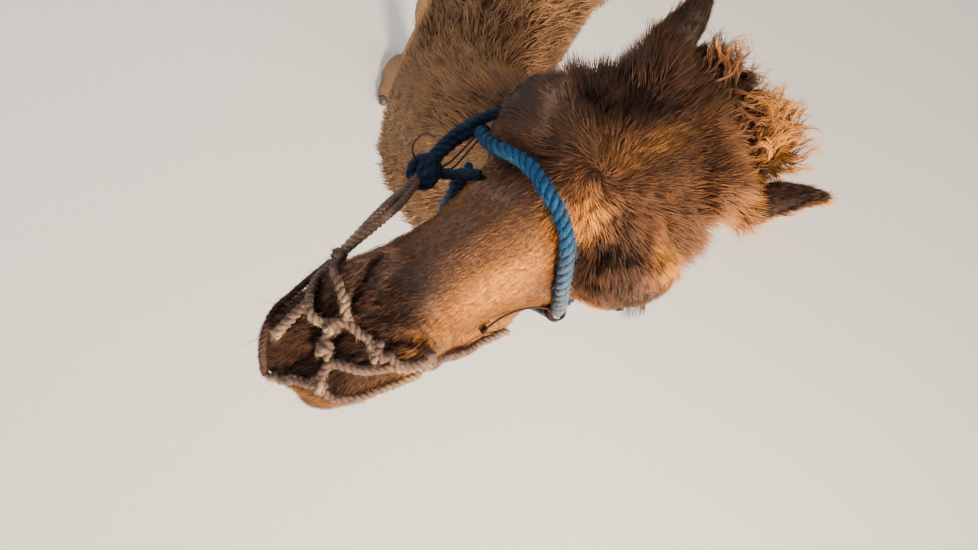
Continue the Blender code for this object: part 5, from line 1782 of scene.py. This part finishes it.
@dataclass(frozen=True)
class Halter:
    """The rope halter: a blue noseband and headstall, a tan net on the muzzle and dark cords."""

    knot: Point = (-0.097, -0.284, -0.086)
    net_radius: float = 0.0044

    def blue(self) -> tuple[Rope, ...]:
        """The blue ropes."""
        knot = self.knot
        nose = mm(
            (-104, -222, -62), (-79, -235, -39), (-61, -233, -24), (-43, -235, -12), (-17, -242, -3),
            (5, -244, -1), (30, -249, -8), (
                52, -254, -28,
            ), (66, -252, -48), (77, -246, -68), (80, -240, -84),
        )
        jaw = mm(
            (80, -236, -94), (58, -214, -160), (36, -218, -208), (4, -226, -218), (-34, -238, -204),
            (-62, -246, -150), (-70, -248, -100), (-72, -250, -70),
        )
        head = mm(
            (81, -235, -92), (82, -214, -103), (80, -160, -112), (74, -90, -110), (70, -30, -92),
            (72, 14, -50), (48, 24, 4), (4, 20, 20), (-46, 24, 6), (-72, 14, -44), (-70, -30, -90),
            (-74, -90, -108), (-80, -160, -108), (-98, -196, -84), (-104, -214, -64),
        )
        knotted = (
            (*mm((-108, -205, -40), (-112, -216, -55), (-114, -236, -70), (-108, -262, -82)), knot),
            (*mm((-104, -216, -60), (-108, -230, -68), (-107, -250, -78)), knot),
            (knot, *mm((-82, -268, -76), (-72, -258, -64), (-66, -252, -58))),
            coil(knot, (0.2, -0.75, 0.5), 0.0105, 2.6, 0.020, 0.003),
            coil(knot, (0.8, 0.3, 0.5), 0.0100, 1.6, 0.008, 0.005),
        )
        sunk = {"slack": -0.0030, "dip": -0.0062, "eased": 2}
        loose = {"fuzz": 34000, "fuzz_length": 0.010, "held": False}
        return (
            # Painted shade: the pair after the wear darkens the noseband at its start and the jaw rope
            # towards its end, and knot and headstall are darkened so too.
            Rope("noseband", (nose,), 0.0070, 3, 0.025, (-0.20, 0.80), (0.62, 0.10), 44000, 0.0080),
            Rope("jaw_rope", (jaw,), 0.0080, 3, 0.040, (0.5, 0.0), (0.1, 0.6)),
            Rope("knot", knotted, 0.0056, 3, 0.026, dim=(0.93, 0.90), **loose),
            Rope("headstall", (head,), 0.0046, 3, 0.024, dim=(0.6, 0.75), fuzz=3000, **sunk),
        )

    def net(self) -> Rope:
        """The tan net round the muzzle, with a knot wherever two of its ropes meet."""
        right, upper, lower = mm((-62, -408, -72), (20, -436, -50), (-15, -452, -58))
        middle, chin, corner = mm((-3, -463, -64), (19, -477, -79), (48, -405, -44))
        strands = (
            (self.knot, *mm((-87, -322, -80), (-76, -365, -62)), right),
            (self.knot, *mm((-81.5, -320.3, -78.8), (-70.5, -363.3, -60.8)), right),
            (right, *mm((-52, -416, -75), (-38, -430, -49), (-24, -438, -49), (-10, -441, -50))),
            (right, *mm((-54, -421, -88), (-48, -438, -80), (-40, -454, -65), (-28, -461, -60)), lower),
            (lower, *mm((-16, -446, -55), (-8, -440, -50), (8, -438, -49)), upper),
            (upper, *mm((31, -432, -48), (41, -420, -44)), corner),
            (lower, *mm((-10, -460, -62)), middle, *mm((8, -464, -66))),
            (*mm((8, -464, -66), (16, -459, -63), (26, -451, -59), (34, -438, -52)), corner),
            (*mm((8, -464, -66), (14, -471, -73)), chin),
            (chin, *mm((30, -474, -83), (40, -456, -84), (50, -428, -80), (56, -400, -80))),
            (corner, *mm((54, -385, -62), (60, -355, -80), (64, -326, -84), (66, -300, -84))),
            (chin, *mm((9, -484, -90), (-2, -488, -108), (-10, -489, -124))),
            mm((-40, -454, -66), (-36, -471, -63), (-33, -481, -67), (-30, -488, -74)),
        )
        ways = {
            right: (0.3, -0.9, 0.2),
            upper: (0.9, 0.2, 0.2),
            lower: (0.2, -0.8, -0.3),
            middle: (0.7, -0.5, 0.1),
            chin: (0.3, -0.9, 0.2),
            corner: (0.9, 0.1, 0.3),
        }
        wraps = tuple(coil(spot, way, 0.0050, 1.7, 0.007, 0.001) for spot, way in ways.items())
        # Painted shade darkens the net where it starts at the knot.
        look = {
            "wear": (0.0, 0.45), "dim": (0.25, 0.0), "fuzz": 60000, "fuzz_length": 0.0075, "slack": 0.0006,
        }
        return Rope("net", strands + wraps, self.net_radius, 2, 0.011, **look)

    def cords(self) -> tuple[Rope, ...]:
        """The thin cords."""
        lip = mm(
            (-63, -408, -90), (-59, -430, -90), (-53, -456, -83), (-48, -476, -81), (-37, -489, -86),
            (-24, -496, -100), (-13, -492, -128),
        )
        tie, wound = mm((55, -331, -67), (80.5, -237.5, -89.5))
        thin = (
            (tie, *mm((54, -314, -60), (58, -290, -64), (67, -262, -76), (78, -242, -86))),
            (tie, *mm((60, -322, -80), (66, -304, -84))),
            coil(tie, (0.85, -0.1, 0.5), 0.0030, 3.5, 0.0035, 0.0008),
            coil(wound, (0.05, 0.10, -1.0), 0.0094, 4.5, 0.0100),
            mm((-104, -220, -58), (-98, -240, -66), (-92, -262, -76), (-94, -276, -82)),
            mm((-100, -222, -56), (-92, -244, -64), (-86, -264, -76), (-92, -280, -84)),
            mm((-102, -290, -82), (-118, -292, -70), (-122, -282, -58), (-114, -276, -54)),
        )
        fluffy = {"fuzz": 14000, "fuzz_length": 0.0065, "slack": 0.0006, "step": 0.0016}
        plain = {"fuzz": 500, "fuzz_length": 0.004, "held": False, "step": 0.002}
        return (
            Rope("lip_cord", (lip,), 0.0031, 3, 0.012, wear=(0.1, 0.1), **fluffy),
            # Painted shade darkens the thin cords all along.
            Rope("thin_cord", thin, 0.0012, 2, 0.006, dim=(0.3, 0.3), **plain),
        )

    def build(self, hide: Object, growth: GrowthTree) -> None:
        """Lays every rope and hands each over."""
        corners = [v.co for v in hide.data.vertices]
        skin = BVHTree.FromPolygons(corners, [p.vertices for p in hide.data.polygons])
        tree = RopeTree()
        blue = RopeFinish(
            "blue_rope", (0.006, 0.010, 0.022), (0.014, 0.165, 0.400), (0.19, 0.20, 0.21),
        ).build()
        tan = RopeFinish(
            "tan_rope", (0.050, 0.028, 0.021), (0.230, 0.140, 0.110), (0.50, 0.35, 0.20),
        ).build()
        dark = RopeFinish(
            "dark_cord", (0.016, 0.008, 0.008), (0.090, 0.038, 0.032), (0.20, 0.11, 0.09),
        ).build()
        plans = [(rope, blue, "blue_rope") for rope in self.blue()]
        plans += [(self.net(), tan, "tan_rope")] + [(rope, dark, "dark_cord") for rope in self.cords()]
        for plan, finish, slot in plans:
            rope = plan.build(tree, skin, finish)
            fibres = plan.fray(rope, growth, finish)
            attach(rope, "root")
            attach(fibres, "root")
            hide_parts("halter_" + plan.name)
            LOG.info(
                "%s: %d faces, %d in fibres", plan.name, len(rope.data.polygons), len(fibres.data.polygons),
            )


# --- The nails ----------------------------------------------------------------------------------
@dataclass(frozen=True)
class HornFinish:
    """Dark ridged horn, scuffed pale in patches."""

    name: str = "horn"
    dark: Colour = (0.030, 0.022, 0.017)
    scuffed: Colour = (0.140, 0.105, 0.075)

    def build(self) -> Material:
        """Makes the material."""
        made, tree, shader = shader_of(self.name)
        place = tree.node("ShaderNodeTexCoord").outputs["Object"]
        settings = {"bands_direction": "Z"}
        ridges = tree.node("ShaderNodeTexWave", settings, Vector=place, Scale=90.0, Distortion=3.0)
        scuffs = tree.noise(60.0, 6.0, Roughness=0.7)
        colour = tree.mix(tree.scale_add(scuffs, 1.8, -0.75), self.dark, self.scuffed)
        relief = tree.bump(0.5, 0.0006, ridges.outputs["Fac"])
        tree.fill(shader, Base_Color=colour, Roughness=0.5, Normal=relief)
        return made

    def dress(self) -> None:
        """Puts the horn on every nail of the frame."""
        horn = self.build()
        for nail in [o for o in bpy.data.objects if "_nail_" in o.name]:
            for held in nail.material_slots:
                held.material = horn


# --- The studio ---------------------------------------------------------------------------------
@dataclass(frozen=True)
class Studio:
    """The floor, the light and the camera above the camel's muzzle."""

    camera_at: Point = (0.0110, -0.6577, 0.4693)
    camera_right: Point = (0.5258, 0.7029, 0.4791)
    camera_down: Point = (0.8506, -0.4401, -0.2878)
    lens: float = 26.5
    sensor: float = 36.0
    floor_half: float = 14.0
    low_sun: Colour = (1.0, 0.78, 0.54)
    warm: Colour = (1.0, 0.95, 0.88)
    sky: Colour = (0.91, 0.95, 1.0)
    cool: Colour = (0.92, 0.95, 1.0)
    surround: Colour = (1.0, 0.975, 0.94)
    surround_strength: float = 0.28

    def place_camera(self) -> Object:
        """Makes the camera, placed in the head's frame."""
        data = bpy.data.cameras.new("camera")
        data.lens = self.lens
        data.sensor_width = self.sensor
        camera = show(data, "camera")
        right = HEAD.turned(self.camera_right).normalized()
        up = -HEAD.turned(self.camera_down).normalized()
        up = (up - up.dot(right) * right).normalized()
        matrix = Matrix((right, up, right.cross(up))).transposed().to_4x4()
        matrix.translation = HEAD.world(self.camera_at)
        camera.matrix_world = matrix
        bpy.context.scene.camera = camera
        return camera

    def lay_floor(self) -> None:
        """Makes the floor."""
        reach = self.floor_half
        corners = [(-reach, -reach, 0), (reach, -reach, 0), (reach, reach, 0), (-reach, reach, 0)]
        floor = show(made_mesh("floor", corners, [(0, 1, 2, 3)]), "floor")
        floor.data.materials.append(FloorFinish().build())

    def area(
        self, name: str, place: Vector, target: Vector, size: float, power: float, colour: Colour
    ) -> None:
        """Adds a soft square light.

        Args:
            name: Its name.
            place: Where it hangs.
            target: What it faces.
            size: Its side, in metres.
            power: Its power, in watts.
            colour: Its colour.
        """
        data = bpy.data.lights.new(name, "AREA")
        data.size = size
        data.energy = power
        data.color = colour
        light = show(data, name)
        light.location = place
        light.rotation_mode = "QUATERNION"
        light.rotation_quaternion = (place - target).to_track_quat("Z", "Y")

    def light(self, camera: Object) -> None:
        """Hangs a warm low key, a cool fill, two lights for the body and an even surround."""
        turn = camera.matrix_world.to_3x3()
        right, up, back = (turn @ Vector(v) for v in ((1, 0, 0), (0, 1, 0), (0, 0, 1)))
        head = HEAD.world((0, -0.2, -0.05))
        key = head + (right * 0.50 - up * 0.95 + back * 0.55).normalized() * 3.2
        fill = head + (-right * 0.9 + up * 0.2 + back * 1.0).normalized() * 4.5
        body = Vector((0.0, 0.5, 1.2))
        self.area("key", key, head, 0.8, 590, self.low_sun)
        self.area("fill", fill, head, 3.5, 80, self.sky)
        self.area("body_left", Vector((5.0, -2.0, 4.5)), body, 4.0, 420, self.warm)
        self.area("body_right", Vector((-5.0, 1.5, 4.0)), body, 4.0, 300, self.cool)
        world = bpy.data.worlds.new("studio")
        world.use_nodes = True
        background = world.node_tree.nodes["Background"]
        background.inputs["Color"].default_value = (*self.surround, 1)
        background.inputs["Strength"].default_value = self.surround_strength
        bpy.context.scene.world = world

    def build(self) -> None:
        """Makes camera, floor and light."""
        camera = self.place_camera()
        self.lay_floor()
        self.light(camera)


def main() -> None:
    """Builds every piece in order and reports it."""
    logging.basicConfig(level=logging.INFO, format="%(message)s")
    Studio().build()
    hide_maker = Hide()
    hide = hide_maker.build()
    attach(hide, "root")
    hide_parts(*hide_maker.nodes())
    hide.data.calc_loop_triangles()
    LOG.info("hide: %d triangles", len(hide.data.loop_triangles))
    tree, finish = GrowthTree(), CoatFinish().build()
    for stretch in COAT:
        piece = stretch.grow(hide, tree, finish)
        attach(piece, "root")
    lashes = Lashes().build(tree, finish)
    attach(lashes, "root")
    wet = EyeFinish().build()
    for side, node in ((1, "eye_left"), (-1, "eye_right")):
        ball = Eye(side).build(wet)
        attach(ball, "root")
        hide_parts(node)
    HornFinish().dress()
    Halter().build(hide, tree)
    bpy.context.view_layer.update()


if __name__ == "__main__":
    main()
